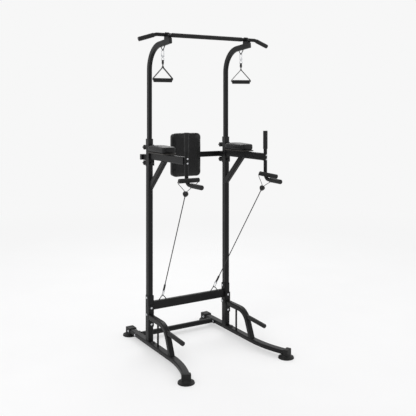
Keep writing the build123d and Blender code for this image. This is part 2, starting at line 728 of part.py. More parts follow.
def dip_handle():
    """The right dip handle: an upright stub that hooks forward at the bottom."""
    tube = sweep_along(handle_path(), Circle(HANDLE_RADIUS), (1, 0, 0))
    bore = sweep_along(handle_path(), Circle(HANDLE_RADIUS - WALL), (1, 0, 0))
    return tube - bore - handle_holes()


def hook_point(y):
    """The point of the right hook's straight stretch at this y."""
    start = Vector(HANDLE_X, HANDLE_Y, HANDLE_LOW)
    run = Vector(*HOOK_END) - start
    point = start + run * ((y - HANDLE_Y) / run.Y)
    return (point.X, point.Y, point.Z)


def handle_foam():
    """The two foam sleeves of the right dip handle."""
    inner = HANDLE_RADIUS + GRIP_GAP
    low = (HANDLE_X, HANDLE_Y, HANDLE_GRIP_LOW)
    high = (HANDLE_X, HANDLE_Y, HANDLE_TOP)
    hook_start = hook_point(HOOK_GRIP_START)
    return [pipe(*ends, HANDLE_GRIP_RADIUS, inner) for ends in ((low, high), (hook_start, HOOK_END))]


# Pads

def soft_block(low, high, corner, edge):
    """A padded block with rounded corners and eased edges. corner runs around the padded face."""
    block = box_between(low, high)
    size = [b - a for a, b in zip(low, high)]
    across = (Axis.X, Axis.Y, Axis.Z)[size.index(min(size))]
    block = fillet(block.edges().filter_by(across), corner)
    return fillet(block.faces().sort_by(across)[0 if across == Axis.Y else -1].edges(), edge)


def arm_pad():
    """The right forearm pad."""
    low_z = ARM_TOP + BOARD_THICKNESS
    half_x, half_y = ARM_PAD_WIDTH / 2, ARM_PAD_LENGTH / 2
    low = (ARM_PAD_X - half_x, ARM_PAD_Y - half_y, low_z)
    high = (ARM_PAD_X + half_x, ARM_PAD_Y + half_y, low_z + ARM_PAD_HEIGHT)
    return soft_block(low, high, 16, 14)


def arm_board():
    """The board under the right forearm pad."""
    inset = 5
    half_x, half_y = ARM_PAD_WIDTH / 2 - inset, ARM_PAD_LENGTH / 2 - inset
    return box_between(
        (ARM_PAD_X - half_x, ARM_PAD_Y - half_y, ARM_TOP),
        (ARM_PAD_X + half_x, ARM_PAD_Y + half_y, ARM_TOP + BOARD_THICKNESS),
    )


def backrest_pad():
    """The backrest cushion."""
    half = BACK_WIDTH / 2
    return soft_block((-half, BACK_FRONT, BACK_BOTTOM), (half, BACK_FRONT + BACK_THICKNESS, BACK_TOP), BACK_CORNER, 12)


def back_board():
    """The board behind the backrest cushion, with its two screw holes."""
    inset = 8
    half = BACK_WIDTH / 2 - inset
    low_y = BACK_FRONT + BACK_THICKNESS
    board = box_between((-half, low_y, BACK_BOTTOM + inset), (half, low_y + BACK_BOARD, BACK_TOP - inset))
    board = fillet(board.edges().filter_by(Axis.Y), BACK_CORNER - inset)
    for x in (-BACK_SCREW_X, BACK_SCREW_X):
        board -= bolt_hole((x, low_y + 2, CROSSBAR_Z), (x, CROSSBAR_Y, CROSSBAR_Z))
    return board


def back_bracket():
    """The right bracket: a channel from the crossbar and the plate that the lower knob clamps."""
    thickness = 3
    half = BRACKET_WIDTH / 2
    low, high = CROSSBAR_Z - CROSSBAR_HEIGHT / 2, CROSSBAR_Z + CROSSBAR_HEIGHT / 2
    plate_back = UPRIGHT_REAR + FLANGE
    channel = box_between((UPRIGHT_X - half, UPRIGHT_REAR, low), (UPRIGHT_X + half, CROSSBAR_Y + 6, high))
    inside = half - thickness
    channel -= box_between(
        (UPRIGHT_X - inside, plate_back, low), (UPRIGHT_X + inside, CROSSBAR_Y, high - thickness),
    )
    half = BRACKET_PLATE / 2
    plate = box_between(
        (UPRIGHT_X - half, UPRIGHT_REAR, BRACKET_PLATE_BOTTOM), (UPRIGHT_X + half, plate_back, high),
    )
    hole = bolt_hole((UPRIGHT_X, UPRIGHT_REAR, BACK_KNOB_Z), (UPRIGHT_X, KNOB_FRONT, BACK_KNOB_Z))
    return channel + plate + knob_boss(UPRIGHT_REAR + 1, BACK_KNOB_Z) - hole


def back_crossbar():
    """The bar behind the backrest and the brackets that the lower knobs clamp to the uprights."""
    section = rounded(CROSSBAR_DEPTH, CROSSBAR_HEIGHT, 5)
    hollow = rounded(CROSSBAR_DEPTH, CROSSBAR_HEIGHT, 5, WALL)
    y = CROSSBAR_Y + CROSSBAR_DEPTH / 2
    ends = (-CROSSBAR_HALF, y, CROSSBAR_Z), (CROSSBAR_HALF, y, CROSSBAR_Z)
    bar = solid_bar(*ends, section, (0, 1, 0))
    shape = bar + both_sides(back_bracket()) - solid_bar(*ends, hollow, (0, 1, 0))
    for x in (-BACK_SCREW_X, BACK_SCREW_X):
        shape -= bolt_hole((x, CROSSBAR_Y - 2, CROSSBAR_Z), (x, CROSSBAR_Y + CROSSBAR_DEPTH + 2, CROSSBAR_Z))
    return shape


# Knobs, caps and bolts

def star_knob(z):
    """A right-hand star knob with its moulded-in stud, which stops just short of the mast."""
    back = KNOB_FRONT + KNOB_DEPTH
    head_depth = 18
    lobe = 5.5
    outline = Circle(KNOB_RADIUS - lobe)
    outline += [loc * Circle(lobe) for loc in PolarLocations(KNOB_RADIUS - lobe, KNOB_LOBES)]
    face = Plane(origin=(UPRIGHT_X, back - head_depth, z), x_dir=(1, 0, 0), z_dir=(0, 1, 0))
    head = extrude(face * outline, head_depth)
    hub = rod((UPRIGHT_X, KNOB_FRONT, z), (UPRIGHT_X, back - head_depth, z), KNOB_HUB_RADIUS + 2)
    mast_rear = UPRIGHT_Y + MAST_DEPTH / 2
    stud = rod((UPRIGHT_X, mast_rear + RUNNING_GAP, z), (UPRIGHT_X, KNOB_FRONT, z), KNOB_STEM_RADIUS)
    return head + hub + stud


def end_cap(point, direction, radius, bore, length=CAP_THICKNESS):
    """A tube plug: a round flange on the tube's end and a spigot inside it."""
    out = Vector(*direction).normalized()
    end = Vector(*point)
    outer = end + out * length
    flange = rod((end.X, end.Y, end.Z), (outer.X, outer.Y, outer.Z), radius)
    flange = fillet(flange.faces().sort_by(Axis(point, out)).last.edges(), length * 0.6)
    inner = end - out * 8
    return flange + rod((inner.X, inner.Y, inner.Z), (end.X, end.Y, end.Z), bore - 0.1)


def arm_bolt_cap(z):
    """A long black nut cap over one arm bolt."""
    front = UPRIGHT_FRONT - FLANGE
    tip = (ARM_FLANGE_X, front - ARM_BOLT_CAP_LENGTH, z)
    cap = rod((ARM_FLANGE_X, front, z), tip, ARM_BOLT_CAP_RADIUS)
    cap = fillet(cap.faces().sort_by(Axis.Y).first.edges(), 5)
    return cap - rod((ARM_FLANGE_X, front, z), (ARM_FLANGE_X, front - 8, z), BOLT_HEAD_RADIUS + 0.2)


def crossbar_cap():
    """The plug in the crossbar's right end."""
    y = CROSSBAR_Y + CROSSBAR_DEPTH / 2
    inside, end, outside = [(CROSSBAR_HALF + step, y, CROSSBAR_Z) for step in (-8, 0, 3)]
    cap = solid_bar(end, outside, rounded(CROSSBAR_DEPTH, CROSSBAR_HEIGHT, 5), (0, 1, 0))
    spigot = rounded(CROSSBAR_DEPTH - 0.4, CROSSBAR_HEIGHT - 0.4, 5, WALL)
    return cap + solid_bar(inside, end, spigot, (0, 1, 0))


def frame_caps():
    """Every plastic cap on the fixed frame."""
    push_end = (BRACE_X, *PUSH_BAR_END)
    push_run = Vector(0, *PUSH_BAR_END) - Vector(0, *PUSH_BAR_START)
    hook_run = Vector(*HOOK_END) - Vector(HANDLE_X, HANDLE_Y, HANDLE_LOW)
    bore = HANDLE_RADIUS - WALL
    right = [
        dome_cap(),
        end_cap(push_end, (push_run.X, push_run.Y, push_run.Z), GRIP_RADIUS, PUSH_BAR_RADIUS - WALL),
        end_cap((HANDLE_X, HANDLE_Y, HANDLE_TOP), (0, 0, 1), HANDLE_GRIP_RADIUS, bore),
        end_cap(HOOK_END, (hook_run.X, hook_run.Y, hook_run.Z), HANDLE_GRIP_RADIUS, bore),
        crossbar_cap(),
        *[arm_bolt_cap(z) for z in ARM_BOLTS],
    ]
    return [piece for cap in right for piece in both_sides(cap)]


def mast_caps():
    """The plugs in the mast arms and in the pull-up bar."""
    end = mast_arm_point(MAST_ARM_LENGTH)
    tip = mast_arm_point(MAST_ARM_LENGTH + 3)
    inside = mast_arm_point(MAST_ARM_LENGTH - 8)
    plug = solid_bar(end, tip, rounded(MAST_WIDTH, MAST_DEPTH, MAST_RADIUS), (1, 0, 0))
    plug += solid_bar(inside, end, rounded(MAST_WIDTH - 0.4, MAST_DEPTH - 0.4, MAST_RADIUS, WALL), (1, 0, 0))
    run = Vector(*BAR_END) - Vector(BAR_BEND_X, BAR_Y, BAR_Z)
    bar_cap = end_cap(BAR_END, (run.X, run.Y, run.Z), GRIP_RADIUS, BAR_RADIUS - WALL)
    return both_sides(plug) + both_sides(bar_cap)


def frame_bolts():
    """Every bolt and nut on the fixed frame."""
    inner, outer = RAIL_X - RAIL_WIDTH / 2, RAIL_X + RAIL_WIDTH / 2
    right = []
    for z in BEAM_BOLTS:
        reach = SLEEVE_WIDTH + FLANGE
        tip = (SLEEVE_OUTER_X - reach - 8, UPRIGHT_Y, z)
        right += button_bolt((SLEEVE_OUTER_X, UPRIGHT_Y, z), tip, reach)
    for z in BRACE_BOLTS:
        front = SLEEVE_FRONT - FLANGE
        reach = SLEEVE_REAR - front
        right += button_bolt((UPRIGHT_X, front, z), (UPRIGHT_X, front + reach + 8, z), reach)
    reach = RAIL_WIDTH + FLANGE
    y, z = RAIL_OUTER_BOLT_Y, RAIL_BOLT_Z
    right += button_bolt((outer, y, z), (outer - reach - 8, y, z))
    head, tip = [(x, RAIL_INNER_BOLT_Y, z) for x in (inner - FLANGE, inner + WALL + 8)]
    right += button_bolt(head, tip, FLANGE + WALL)
    half = BOOT_WIDTH / 2
    right += button_bolt((RAIL_X + half, FOOT_BOLT_Y, z), (RAIL_X - half - 8, FOOT_BOLT_Y, z), BOOT_WIDTH)
    mast_front = UPRIGHT_Y - MAST_DEPTH / 2
    for z in ARM_BOLTS:
        right += button_bolt((ARM_FLANGE_X, UPRIGHT_FRONT - FLANGE, z), (ARM_FLANGE_X, mast_front - 0.5, z))
    front = HANDLE_Y - HANDLE_RADIUS
    nut_seat = ARM_FRONT + FLANGE
    for z in HANDLE_BOLTS:
        tip = (HANDLE_X, nut_seat + 6, z)
        right += button_bolt((HANDLE_X, front, z), tip, nut_seat - front, SMALL_BOLT_SCALE)
    rear, tip_y = CROSSBAR_Y + CROSSBAR_DEPTH, CROSSBAR_Y - BACK_BOARD + 3
    right += button_bolt((BACK_SCREW_X, rear, CROSSBAR_Z), (BACK_SCREW_X, tip_y, CROSSBAR_Z))
    return [piece for bolt in right for piece in both_sides(bolt)]


def clamp_bolts():
    """The bolts that pinch the pull-up bar's saddles."""
    bolt = button_bolt(*CLAMP_BOLT_ENDS, CLAMP_DEPTH, SMALL_BOLT_SCALE)
    return [piece for part in bolt for piece in both_sides(part)]


# Swivel snap hooks. Their own frame has the rod's centre at the origin and hangs along -Z.

def snap_hook(pin_hole):
    """The hook's body: bent wire, base block and the two lugs of the gate. pin_hole bores it for a swivel."""
    centre_z = HOOK_TOP - HOOK_HALF
    arc = CenterArc((0, 0, 0), HOOK_HALF, 0, 180)
    arc = Plane(origin=(0, 0, centre_z), x_dir=(1, 0, 0), z_dir=(0, -1, 0)) * arc
    nose = Line((HOOK_HALF, 0, HOOK_NOSE), (HOOK_HALF, 0, centre_z))
    back = Line((-HOOK_HALF, 0, centre_z), (-HOOK_HALF, 0, HOOK_BLOCK_TOP - 4))
    wire = sweep_along(nose + arc + back, Circle(HOOK_WIRE), (1, 0, 0))
    half_x, half_y = HOOK_BLOCK_WIDTH / 2, HOOK_BLOCK_DEPTH / 2
    block = box_between((-half_x, -half_y, HOOK_BLOCK_BOTTOM), (half_x, half_y, HOOK_BLOCK_TOP))
    block = fillet(block.edges().filter_by(Axis.Y), 2)
    lug = rod((HOOK_HALF, LUG_INNER, GATE_PIVOT_Z), (HOOK_HALF, LUG_OUTER, GATE_PIVOT_Z), LUG_RADIUS)
    lug += box_between(
        (HOOK_HALF - 2, LUG_INNER, HOOK_BLOCK_TOP - 1), (HOOK_HALF + 2.4, LUG_OUTER, GATE_PIVOT_Z),
    )
    pin = rod((HOOK_HALF, -LUG_OUTER, GATE_PIVOT_Z), (HOOK_HALF, LUG_OUTER, GATE_PIVOT_Z), GATE_PIN_RADIUS)
    shape = wire + block + lug + mirror(lug, about=Plane.XZ) + pin
    if pin_hole:
        shape -= rod((0, 0, HOOK_BLOCK_BOTTOM), (0, 0, HOOK_BLOCK_TOP), SWIVEL_PIN_RADIUS + BOLT_CLEARANCE)
    return shape


def hook_gate():
    """The sprung gate, on its pin."""
    across = (HOOK_HALF, -GATE_HALF_WIDTH, GATE_PIVOT_Z), (HOOK_HALF, GATE_HALF_WIDTH, GATE_PIVOT_Z)
    eye = rod(*across, LUG_RADIUS - RUNNING_GAP)
    bar = rod((HOOK_HALF, 0, GATE_PIVOT_Z), (HOOK_HALF, 0, GATE_END), GATE_RADIUS)
    return eye + bar - rod(*across, GATE_PIN_RADIUS + GRIP_GAP)


def swivel_eye():
    """The D-shaped eye and the riveted pin that turns in the hook's block."""
    half = EYE_WIRE / 2
    top = EYE_TOP - half - 1
    outline = SlotCenterToCenter(2 * (top - EYE_HALF - EYE_BAR_Z), 2 * (EYE_HALF + half), rotation=90)
    hollow = SlotCenterToCenter(2 * (top - EYE_HALF - EYE_BAR_Z), 2 * (EYE_HALF - half), rotation=90)
    below = Pos(0, -100) * Rectangle(200, 200)
    outline = outline - Pos(0, -half) * below
    hollow = hollow - Pos(0, half) * below
    face = Plane(origin=(0, half, EYE_BAR_Z), x_dir=(1, 0, 0), z_dir=(0, -1, 0)) * (outline - hollow)
    ring = extrude(face, EYE_WIRE)
    ring = fillet(ring.edges().filter_by(Plane.XZ), 1.2)
    collar_top = HOOK_BLOCK_BOTTOM - RUNNING_GAP
    neck = rod((0, 0, EYE_TOP - 2.6), (0, 0, collar_top), SWIVEL_HEAD_RADIUS)
    pin = rod((0, 0, collar_top), (0, 0, HOOK_BLOCK_TOP + RUNNING_GAP), SWIVEL_PIN_RADIUS)
    head_z = HOOK_BLOCK_TOP + RUNNING_GAP
    head = rod((0, 0, head_z), (0, 0, head_z + 2), SWIVEL_HEAD_RADIUS)
    return ring + neck + pin + head


def stirrup_strap():
    """The webbing: a loop round the eye's bar, a stem and a triangle that runs through the grip."""
    half = STRAP_LOOP_WIDTH / 2
    loop = rod((-half, 0, EYE_BAR_Z), (half, 0, EYE_BAR_Z), STRAP_LOOP_OUTER)
    thin = STRAP_THICKNESS - 0.5
    upper = box_between((-half, -thin, STRAP_TWIST_Z), (half, thin, EYE_BAR_Z))
    lower = box_between((-thin, -STRAP_WIDTH / 2, STRAP_APEX - 4), (thin, STRAP_WIDTH / 2, STRAP_TWIST_Z))
    points = (
        (0, 0, STRAP_APEX), (STRAP_SIDE, 0, STRAP_KNEE), (STRAP_SIDE, 0, STIRRUP_Z),
        (-STRAP_SIDE, 0, STIRRUP_Z), (-STRAP_SIDE, 0, STRAP_KNEE), (0, 0, STRAP_APEX),
    )
    path = FilletPolyline(*points, radius=STRAP_BEND)
    band = sweep_along(path, Rectangle(STRAP_WIDTH, STRAP_THICKNESS), (0, 1, 0))
    bar_room = rod((-half, 0, EYE_BAR_Z), (half, 0, EYE_BAR_Z), STRAP_LOOP_INNER)
    return loop + upper + lower + band - bar_room


def foam_grip(length, outer, bore, core):
    """A turning grip along X at the origin: plastic core tube, foam sleeve and two end caps."""
    half = length / 2
    foam_end = half - GRIP_CAP
    pieces = [
        pipe((-foam_end, 0, 0), (foam_end, 0, 0), outer, core + GRIP_GAP),
        pipe((-foam_end, 0, 0), (foam_end, 0, 0), core, max(bore, core - 2 * WALL)),
    ]
    for sign in (-1, 1):
        cap = pipe((sign * foam_end, 0, 0), (sign * half, 0, 0), outer, bore)
        pieces.append(cap)
    return Compound(children=pieces)


def hanging_parts(side):
    """The five pieces of one hanging handle, in place."""
    sign = SIDES[side]
    rod_centre = Pos(sign * UPRIGHT_X, TOP_LOOP_Y, TOP_LOOP_TIP)
    turned = rod_centre * Rot(0, 0, YAW[side])
    grip = Pos(0, 0, STIRRUP_Z) * foam_grip(STIRRUP_GRIP_LENGTH, STIRRUP_GRIP_RADIUS, STIRRUP_BORE, STIRRUP_CORE)
    return {
        f"swivel_hook_{side}": rod_centre * side_of(snap_hook(True), side),
        f"hook_gate_{side}": rod_centre * side_of(hook_gate(), side),
        f"swivel_eye_{side}": turned * swivel_eye(),
        f"handle_strap_{side}": turned * stirrup_strap(),
        f"hanging_grip_{side}": turned * grip,
    }


# Resistance bands

def band_start(side):
    """The centre of the low loop's bend, where the band hooks on."""
    return Vector(SIDES[side] * LOW_LOOP_X, UPRIGHT_Y, LOW_LOOP_TIP)


def band_stopper_centre(side):
    """The middle of the stopper at the band's upper end."""
    x, y, z = STOPPER_CENTRE
    return Vector(SIDES[side] * x, y, z)


def band_direction(side):
    """The way the taut band runs, from the low loop up to the handle."""
    return (band_stopper_centre(side) - band_start(side)).normalized()


def band_plane(side, distance=0):
    """A plane on the band whose -Z runs up the band and whose Y is across the hook's ring."""
    along = band_direction(side)
    x_axis = Vector(1, 0, 0)
    normal = (x_axis - along * x_axis.dot(along)).normalized()
    return Plane(origin=band_start(side) + along * distance, x_dir=normal.cross(-along), z_dir=-along)


def band_hook(side):
    """The band's snap hook, with the stub that the ferrule is crimped on."""
    stub = rod((0, 0, -FERRULE_START), (0, 0, HOOK_BLOCK_BOTTOM), SWIVEL_HEAD_RADIUS)
    return band_plane(side) * (snap_hook(False) + stub)


def ferrule():
    """The crimped ferrule, in the band's own frame."""
    start, end = -FERRULE_START, -FERRULE_END
    shoulder = 12
    body = rod((0, 0, start), (0, 0, end + shoulder), FERRULE_RADIUS)
    tail = Pos(0, 0, end + shoulder / 2) * Cone(BAND_CORD_RADIUS + 0.8, FERRULE_RADIUS, shoulder)
    return body + tail


def stopper():
    """The rubber stopper on the cord: pointed below, broad above, in its own frame with +Z up the band."""
    half = STOPPER_LENGTH / 2
    neck = BAND_CORD_RADIUS + 1
    belly = (STOPPER_RADIUS, 5)
    flank = (13, -8.5)
    shoulder = (STOPPER_RADIUS - 1.5, 13)
    rim = (STOPPER_RADIUS - 6, half)
    lower = ThreePointArc((neck, -half), flank, belly)
    crown = ThreePointArc(belly, shoulder, rim)
    outline = Line((0, -half), (neck, -half)) + lower + crown
    outline += Line(rim, (0, half)) + Line((0, half), (0, -half))
    return revolve(Plane.XZ * make_face(outline), Axis.Z)


def stopper_on(side):
    """One stopper in place."""
    along = band_direction(side)
    frame = band_plane(side)
    return Plane(origin=band_stopper_centre(side), x_dir=frame.x_dir, z_dir=along) * stopper()


def grip_frame(side):
    """The band grip's middle and its axis, lying in the crook of the dip handle."""
    sign = SIDES[side]
    hook_run = Vector(*HOOK_END) - Vector(HANDLE_X, HANDLE_Y, HANDLE_LOW)
    share = HANDLE_BEND / hook_run.length
    centre_y = HANDLE_Y - HANDLE_BEND
    centre_z = HANDLE_LOW + hook_run.Z * share + HANDLE_BEND
    pull_y, pull_z = 0.55, -0.835
    offset = CROOK_OFFSET[side]
    centre = Vector(sign * (HANDLE_X + 1), centre_y + pull_y * offset, centre_z + pull_z * offset)
    tilt = radians(BAND_GRIP_TILT[side])
    return centre, Vector(cos(tilt), 0, -sign * sin(tilt))


def band_grip(side):
    """One band grip in place."""
    centre, axis = grip_frame(side)
    plane = Plane(origin=centre, x_dir=axis, z_dir=axis.cross(Vector(0, 1, 0)))
    return plane * foam_grip(BAND_GRIP_LENGTH, GRIP_RADIUS, BAND_GRIP_BORE, PUSH_BAR_RADIUS)


def handle_cord_route(side):
    """The thin cord's corners: up from the stopper, through the grip and back down."""
    centre, axis = grip_frame(side)
    along = band_direction(side)
    top = band_stopper_centre(side) + along * (STOPPER_LENGTH / 2)
    spread = (axis - along * axis.dot(along)).normalized() * CORD_SPREAD
    drop = (top - centre) - axis * (top - centre).dot(axis)
    drop = drop.normalized() * CORD_TURN_DROP
    reach = axis * (BAND_GRIP_LENGTH / 2 + CORD_TURN_OUT)
    first = [top - spread, top - spread + along * CORD_EXIT_RUN, centre - reach + drop, centre - reach]
    last = [centre + reach, centre + reach + drop, top + spread + along * CORD_EXIT_RUN, top + spread]
    return first + last


def corner_radii(points):
    """The largest tangent arc that each corner's two runs leave room for."""
    radii = []
    for before, corner, after in zip(points, points[1:], points[2:]):
        turn = radians((corner - before).get_angle(after - corner))
        shorter = min((corner - before).length, (after - corner).length)
        radii.append(0.45 * shorter / tan(turn / 2))
    return radii


def handle_cord(side):
    """The thin cord of one band, which also carries the grip."""
    points = handle_cord_route(side)
    radii = corner_radii(points)
    path = FilletPolyline(*points, radius=radii)
    cord = sweep_along(path, Circle(HANDLE_CORD_RADIUS), band_plane(side).x_dir)
    expected = pi * HANDLE_CORD_RADIUS ** 2 * path.length
    print(f"handle_cord_{side}: length {path.length:.1f}, radii {[round(r, 1) for r in radii]}")
    print(f"handle_cord_{side}: volume {cord.volume:.1f}, section times length {expected:.1f}")
    return cord


def band_cord(side):
    """The straight, taut cord between the ferrule and the stopper."""
    along = band_direction(side)
    start = band_start(side) + along * FERRULE_END
    end = band_stopper_centre(side) - along * (STOPPER_LENGTH / 2)
    cord = solid_bar(start, end, Circle(BAND_CORD_RADIUS), band_plane(side).x_dir)
    length = (end - start).length
    print(f"band_cord_{side}: length {length:.1f}, volume {cord.volume:.1f}, "
          f"section times length {pi * BAND_CORD_RADIUS ** 2 * length:.1f}")
    return cord


def band_parts(side):
    """The pieces of one band, in place."""
    return {
        f"band_hook_{side}": band_hook(side),
        f"band_gate_{side}": band_plane(side) * hook_gate(),
        f"band_cord_{side}": band_cord(side),
        f"handle_cord_{side}": handle_cord(side),
        f"band_grip_{side}": band_grip(side),
    }


def paired_parts():
    """The pieces that have a node for each side."""
    makers = {
        "base_rail": base_rail, "push_up_brace": push_up_brace, "upright": upright, "dip_arm": dip_arm,
        "arm_pad": arm_pad, "dip_handle": dip_handle, "mast": mast,
    }
    parts = {}
    for name, maker in makers.items():
        right = maker()
        for side in SIDES:
            parts[f"{name}_{side}"] = side_of(right, side)
    for name, z in {"mast_knob": MAST_KNOB_Z, "back_knob": BACK_KNOB_Z}.items():
        for side in SIDES:
            parts[f"{name}_{side}"] = side_of(star_knob(z), side)
    return parts


def grouped_parts():
    """The pieces that stand alone or share one node as separate solids."""
    return {
        "rear_cross_tube": [rear_cross_tube()],
        "front_feet": both_sides(front_foot()),
        "rear_feet": both_sides(rear_foot()),
        "push_up_grips": both_sides(push_up_grip()),
        "lower_crossbeam": [lower_crossbeam()],
        "low_anchor_loops": both_sides(low_loop()),
        "collars": both_sides(collar()),
        "dip_struts": both_sides(dip_strut()),
        "pad_boards": both_sides(arm_board()) + [back_board()],
        "handle_grips": [piece for foam in handle_foam() for piece in both_sides(foam)],
        "back_crossbar": [back_crossbar()],
        "backrest_pad": [backrest_pad()],
        "top_anchor_loops": both_sides(top_loop()),
        "pull_up_bar": [bar_shape(BAR_RADIUS) - bar_shape(BAR_RADIUS - WALL)],
        "bar_grips": bar_grips(),
        "bar_clamps": both_sides(bar_clamp()),
        "plastic_caps": frame_caps(),
        "mast_caps": mast_caps(),
        "frame_bolts": frame_bolts(),
        "clamp_bolts": clamp_bolts(),
        "band_stops": [piece for side in SIDES for piece in (band_plane(side) * ferrule(), stopper_on(side))],
    }


def main():
    """Build every node and write it as STEP."""
    os.makedirs("parts", exist_ok=True)
    parts = paired_parts()
    parts.update({name: Compound(children=pieces) for name, pieces in grouped_parts().items()})
    for side in SIDES:
        parts.update(hanging_parts(side))
        parts.update(band_parts(side))
    for name, shape in parts.items():
        export_step(shape, f"parts/{name}.step")
    print(f"{len(parts)} nodes")


main()
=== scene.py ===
"""Power tower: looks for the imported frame. Metres, in the frame's own axes: +Z up, the user stands at -Y."""
import json
from math import atan2, cos, pi, radians, sin

import bmesh
import bpy
from mathutils import Matrix, Vector
from mathutils.bvhtree import BVHTree


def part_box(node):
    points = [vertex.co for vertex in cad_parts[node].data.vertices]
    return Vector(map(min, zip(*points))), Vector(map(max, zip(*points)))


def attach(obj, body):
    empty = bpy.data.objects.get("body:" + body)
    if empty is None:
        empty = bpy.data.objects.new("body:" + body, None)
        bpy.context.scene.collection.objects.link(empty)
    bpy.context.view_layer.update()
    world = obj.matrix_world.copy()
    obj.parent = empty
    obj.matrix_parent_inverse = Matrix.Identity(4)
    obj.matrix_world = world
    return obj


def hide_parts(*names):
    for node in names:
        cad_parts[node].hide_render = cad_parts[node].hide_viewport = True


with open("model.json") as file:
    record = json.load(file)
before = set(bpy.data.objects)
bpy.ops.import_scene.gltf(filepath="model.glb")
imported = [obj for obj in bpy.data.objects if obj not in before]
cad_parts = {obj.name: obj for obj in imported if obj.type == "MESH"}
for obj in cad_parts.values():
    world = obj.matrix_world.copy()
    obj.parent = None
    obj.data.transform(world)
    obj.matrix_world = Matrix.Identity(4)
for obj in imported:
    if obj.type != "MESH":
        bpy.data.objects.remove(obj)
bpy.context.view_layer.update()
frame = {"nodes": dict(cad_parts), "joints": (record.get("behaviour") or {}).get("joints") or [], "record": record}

NODES = frame["nodes"]
JOINTS = {joint["name"]: joint for joint in frame["joints"]}
BODY_OF = {node: body for body, nodes in frame["record"]["behaviour"]["bodies"].items() for node in nodes}
SLOT_OF = {part["node"]: part["material_slot"] for part in frame["record"]["subparts"]}
SIDES = {"left": -1, "right": 1}

# Light
SURROUND_BRIGHT = 0.93
SURROUND_DIM = 0.68
FLOOR_GLOW = 0.46
FLOOR_HALF = 150
FLOOR_DROP = 0.0005
# name: (place, target, size, power)
LIGHTS = {
    "key": ((-3.4, -1.2, 4.6), (0, 0, 1.1), 2.2, 75),
    "fill": ((3.8, -2.4, 3.0), (0, 0, 1.0), 3.0, 30),
    "top": ((1.4, 3.0, 4.4), (0, 0, 0.9), 2.6, 75),
}

# Camera
CAMERA_PLACE = (-2.3675, -3.985, 1.7105)
CAMERA_AZIMUTH = radians(-31.34)
CAMERA_LENS = 56.47
CAMERA_SHIFT_Y = -0.2459

# Bands and handle cords
BAND_HOOK_PLACE = (0.216, 0.172, 0.356)
STOPPER_PLACE = (0.304, -0.316, 1.137)
STOPPER_LENGTH = 0.036
FERRULE_END = 0.110
BAND_DIAMETER = 0.0065
BAND_CALM = 6 * BAND_DIAMETER
HANDLE_CORD_DIAMETER = 0.004
HANDLE_CORD_CALM = 6 * HANDLE_CORD_DIAMETER
CORD_SPREAD = 0.006
CORD_EXIT_RUN = 0.008
CORD_TURN_OUT = 0.007
CORD_TURN_DROP = 0.015
BAND_GRIP_LENGTH = 0.145

# Turning grips: the depths are measured in from the outside of the end caps
GRIP_CAP = 0.003
GRIP_CAP_ROUNDING = 0.0012
FOAM_GAP = 0.0004
FOAM_TOP = 0.0002
FOAM_UNDERSIDE = 0.0035
FOAM_ROUNDING = 0.0018
CORE_OUTSIDE = 0.0038
CORE_INSIDE = 0.0062
CORE_ROUNDING = 0.0004

# Hanging handle straps, measured down from the rod that the hook hangs on
EYE_BAR_DROP = 0.070
STRAP_APEX_DROP = 0.114
STRAP_KNEE_DROP = 0.191
STRAP_SIDE = 0.071
GRIP_DROP = 0.203
STRAP_NARROW = 0.013
STRAP_WIDE = 0.025
STRAP_IN_GRIP = 0.0185
WEBBING_THICKNESS = 0.0028
STRAP_LOOP_RADIUS = 0.0035
STRAP_STEM_STEPS = 26
STRAP_LAYING = 1.05
STRAP_TUCK = 0.03
STRAP_TAPER = 0.010
STRAP_CORNER = 0.004
STRAP_CORNER_SHARE = 0.45
STRAP_APEX_RISE = 0.006
STRAP_APEX_FALL = 0.003
STRAP_APEX_TOP_GAP = 0.0012
STRAP_APEX_LOW_GAP = 0.003
STRAP_STEP = 0.006
RIM_SHARE = 0.35
FACE_SHARE = 0.9

# Cushions
CUSHION_EDGE = 0.010
CUSHION_VOXEL = 0.005
CLOTH_FRAMES = 20
BOARD_REACH = 0.004
SEAM_STEPS = 220
SEAM_DIAMETER = 0.0022

# Star knobs
KNOB_HEAD_DEPTH = 0.018
KNOB_HUB_DEPTH = 0.035
KNOB_LOBES = 6
KNOB_LOBE_DEPTH = 0.20
KNOB_STEPS = 96
STUD_RADIUS = 0.004
STUD_IN_HUB = 0.004
STUD_ROUNDING = 0.0006
STUD_CORE = 0.0001

RING_STEPS = 64
EDGE_ROUNDING = 0.0025
SINKING_KEPT = 0.2


# Materials

def node_material(name):
    """An empty node material: (material, nodes, links, principled shader, object coordinates)."""
    material = bpy.data.materials.new(name)
    material.use_nodes = True
    nodes, links = material.node_tree.nodes, material.node_tree.links
    shader = nodes["Principled BSDF"]
    place = nodes.new("ShaderNodeTexCoord").outputs["Object"]
    return material, nodes, links, shader, place


def noise(nodes, links, place, scale, detail=3.0, roughness=0.5):
    """A noise texture's value output."""
    texture = nodes.new("ShaderNodeTexNoise")
    texture.inputs["Scale"].default_value = scale
    texture.inputs["Detail"].default_value = detail
    texture.inputs["Roughness"].default_value = roughness
    links.new(place, texture.inputs["Vector"])
    return texture.outputs["Fac"]


def cells(nodes, links, place, scale, smoothness=0.6):
    """A smooth cell texture's distance output."""
    texture = nodes.new("ShaderNodeTexVoronoi")
    texture.feature = "SMOOTH_F1"
    texture.inputs["Scale"].default_value = scale
    texture.inputs["Smoothness"].default_value = smoothness
    links.new(place, texture.inputs["Vector"])
    return texture.outputs["Distance"]


def blend_colours(nodes, links, factor, dark, light):
    """A colour that runs from dark to light."""
    ramp = nodes.new("ShaderNodeValToRGB")
    ramp.color_ramp.elements[0].position = 0.35
    ramp.color_ramp.elements[0].color = (*dark, 1)
    ramp.color_ramp.elements[1].position = 0.68
    ramp.color_ramp.elements[1].color = (*light, 1)
    links.new(factor, ramp.inputs["Fac"])
    return ramp.outputs["Color"]


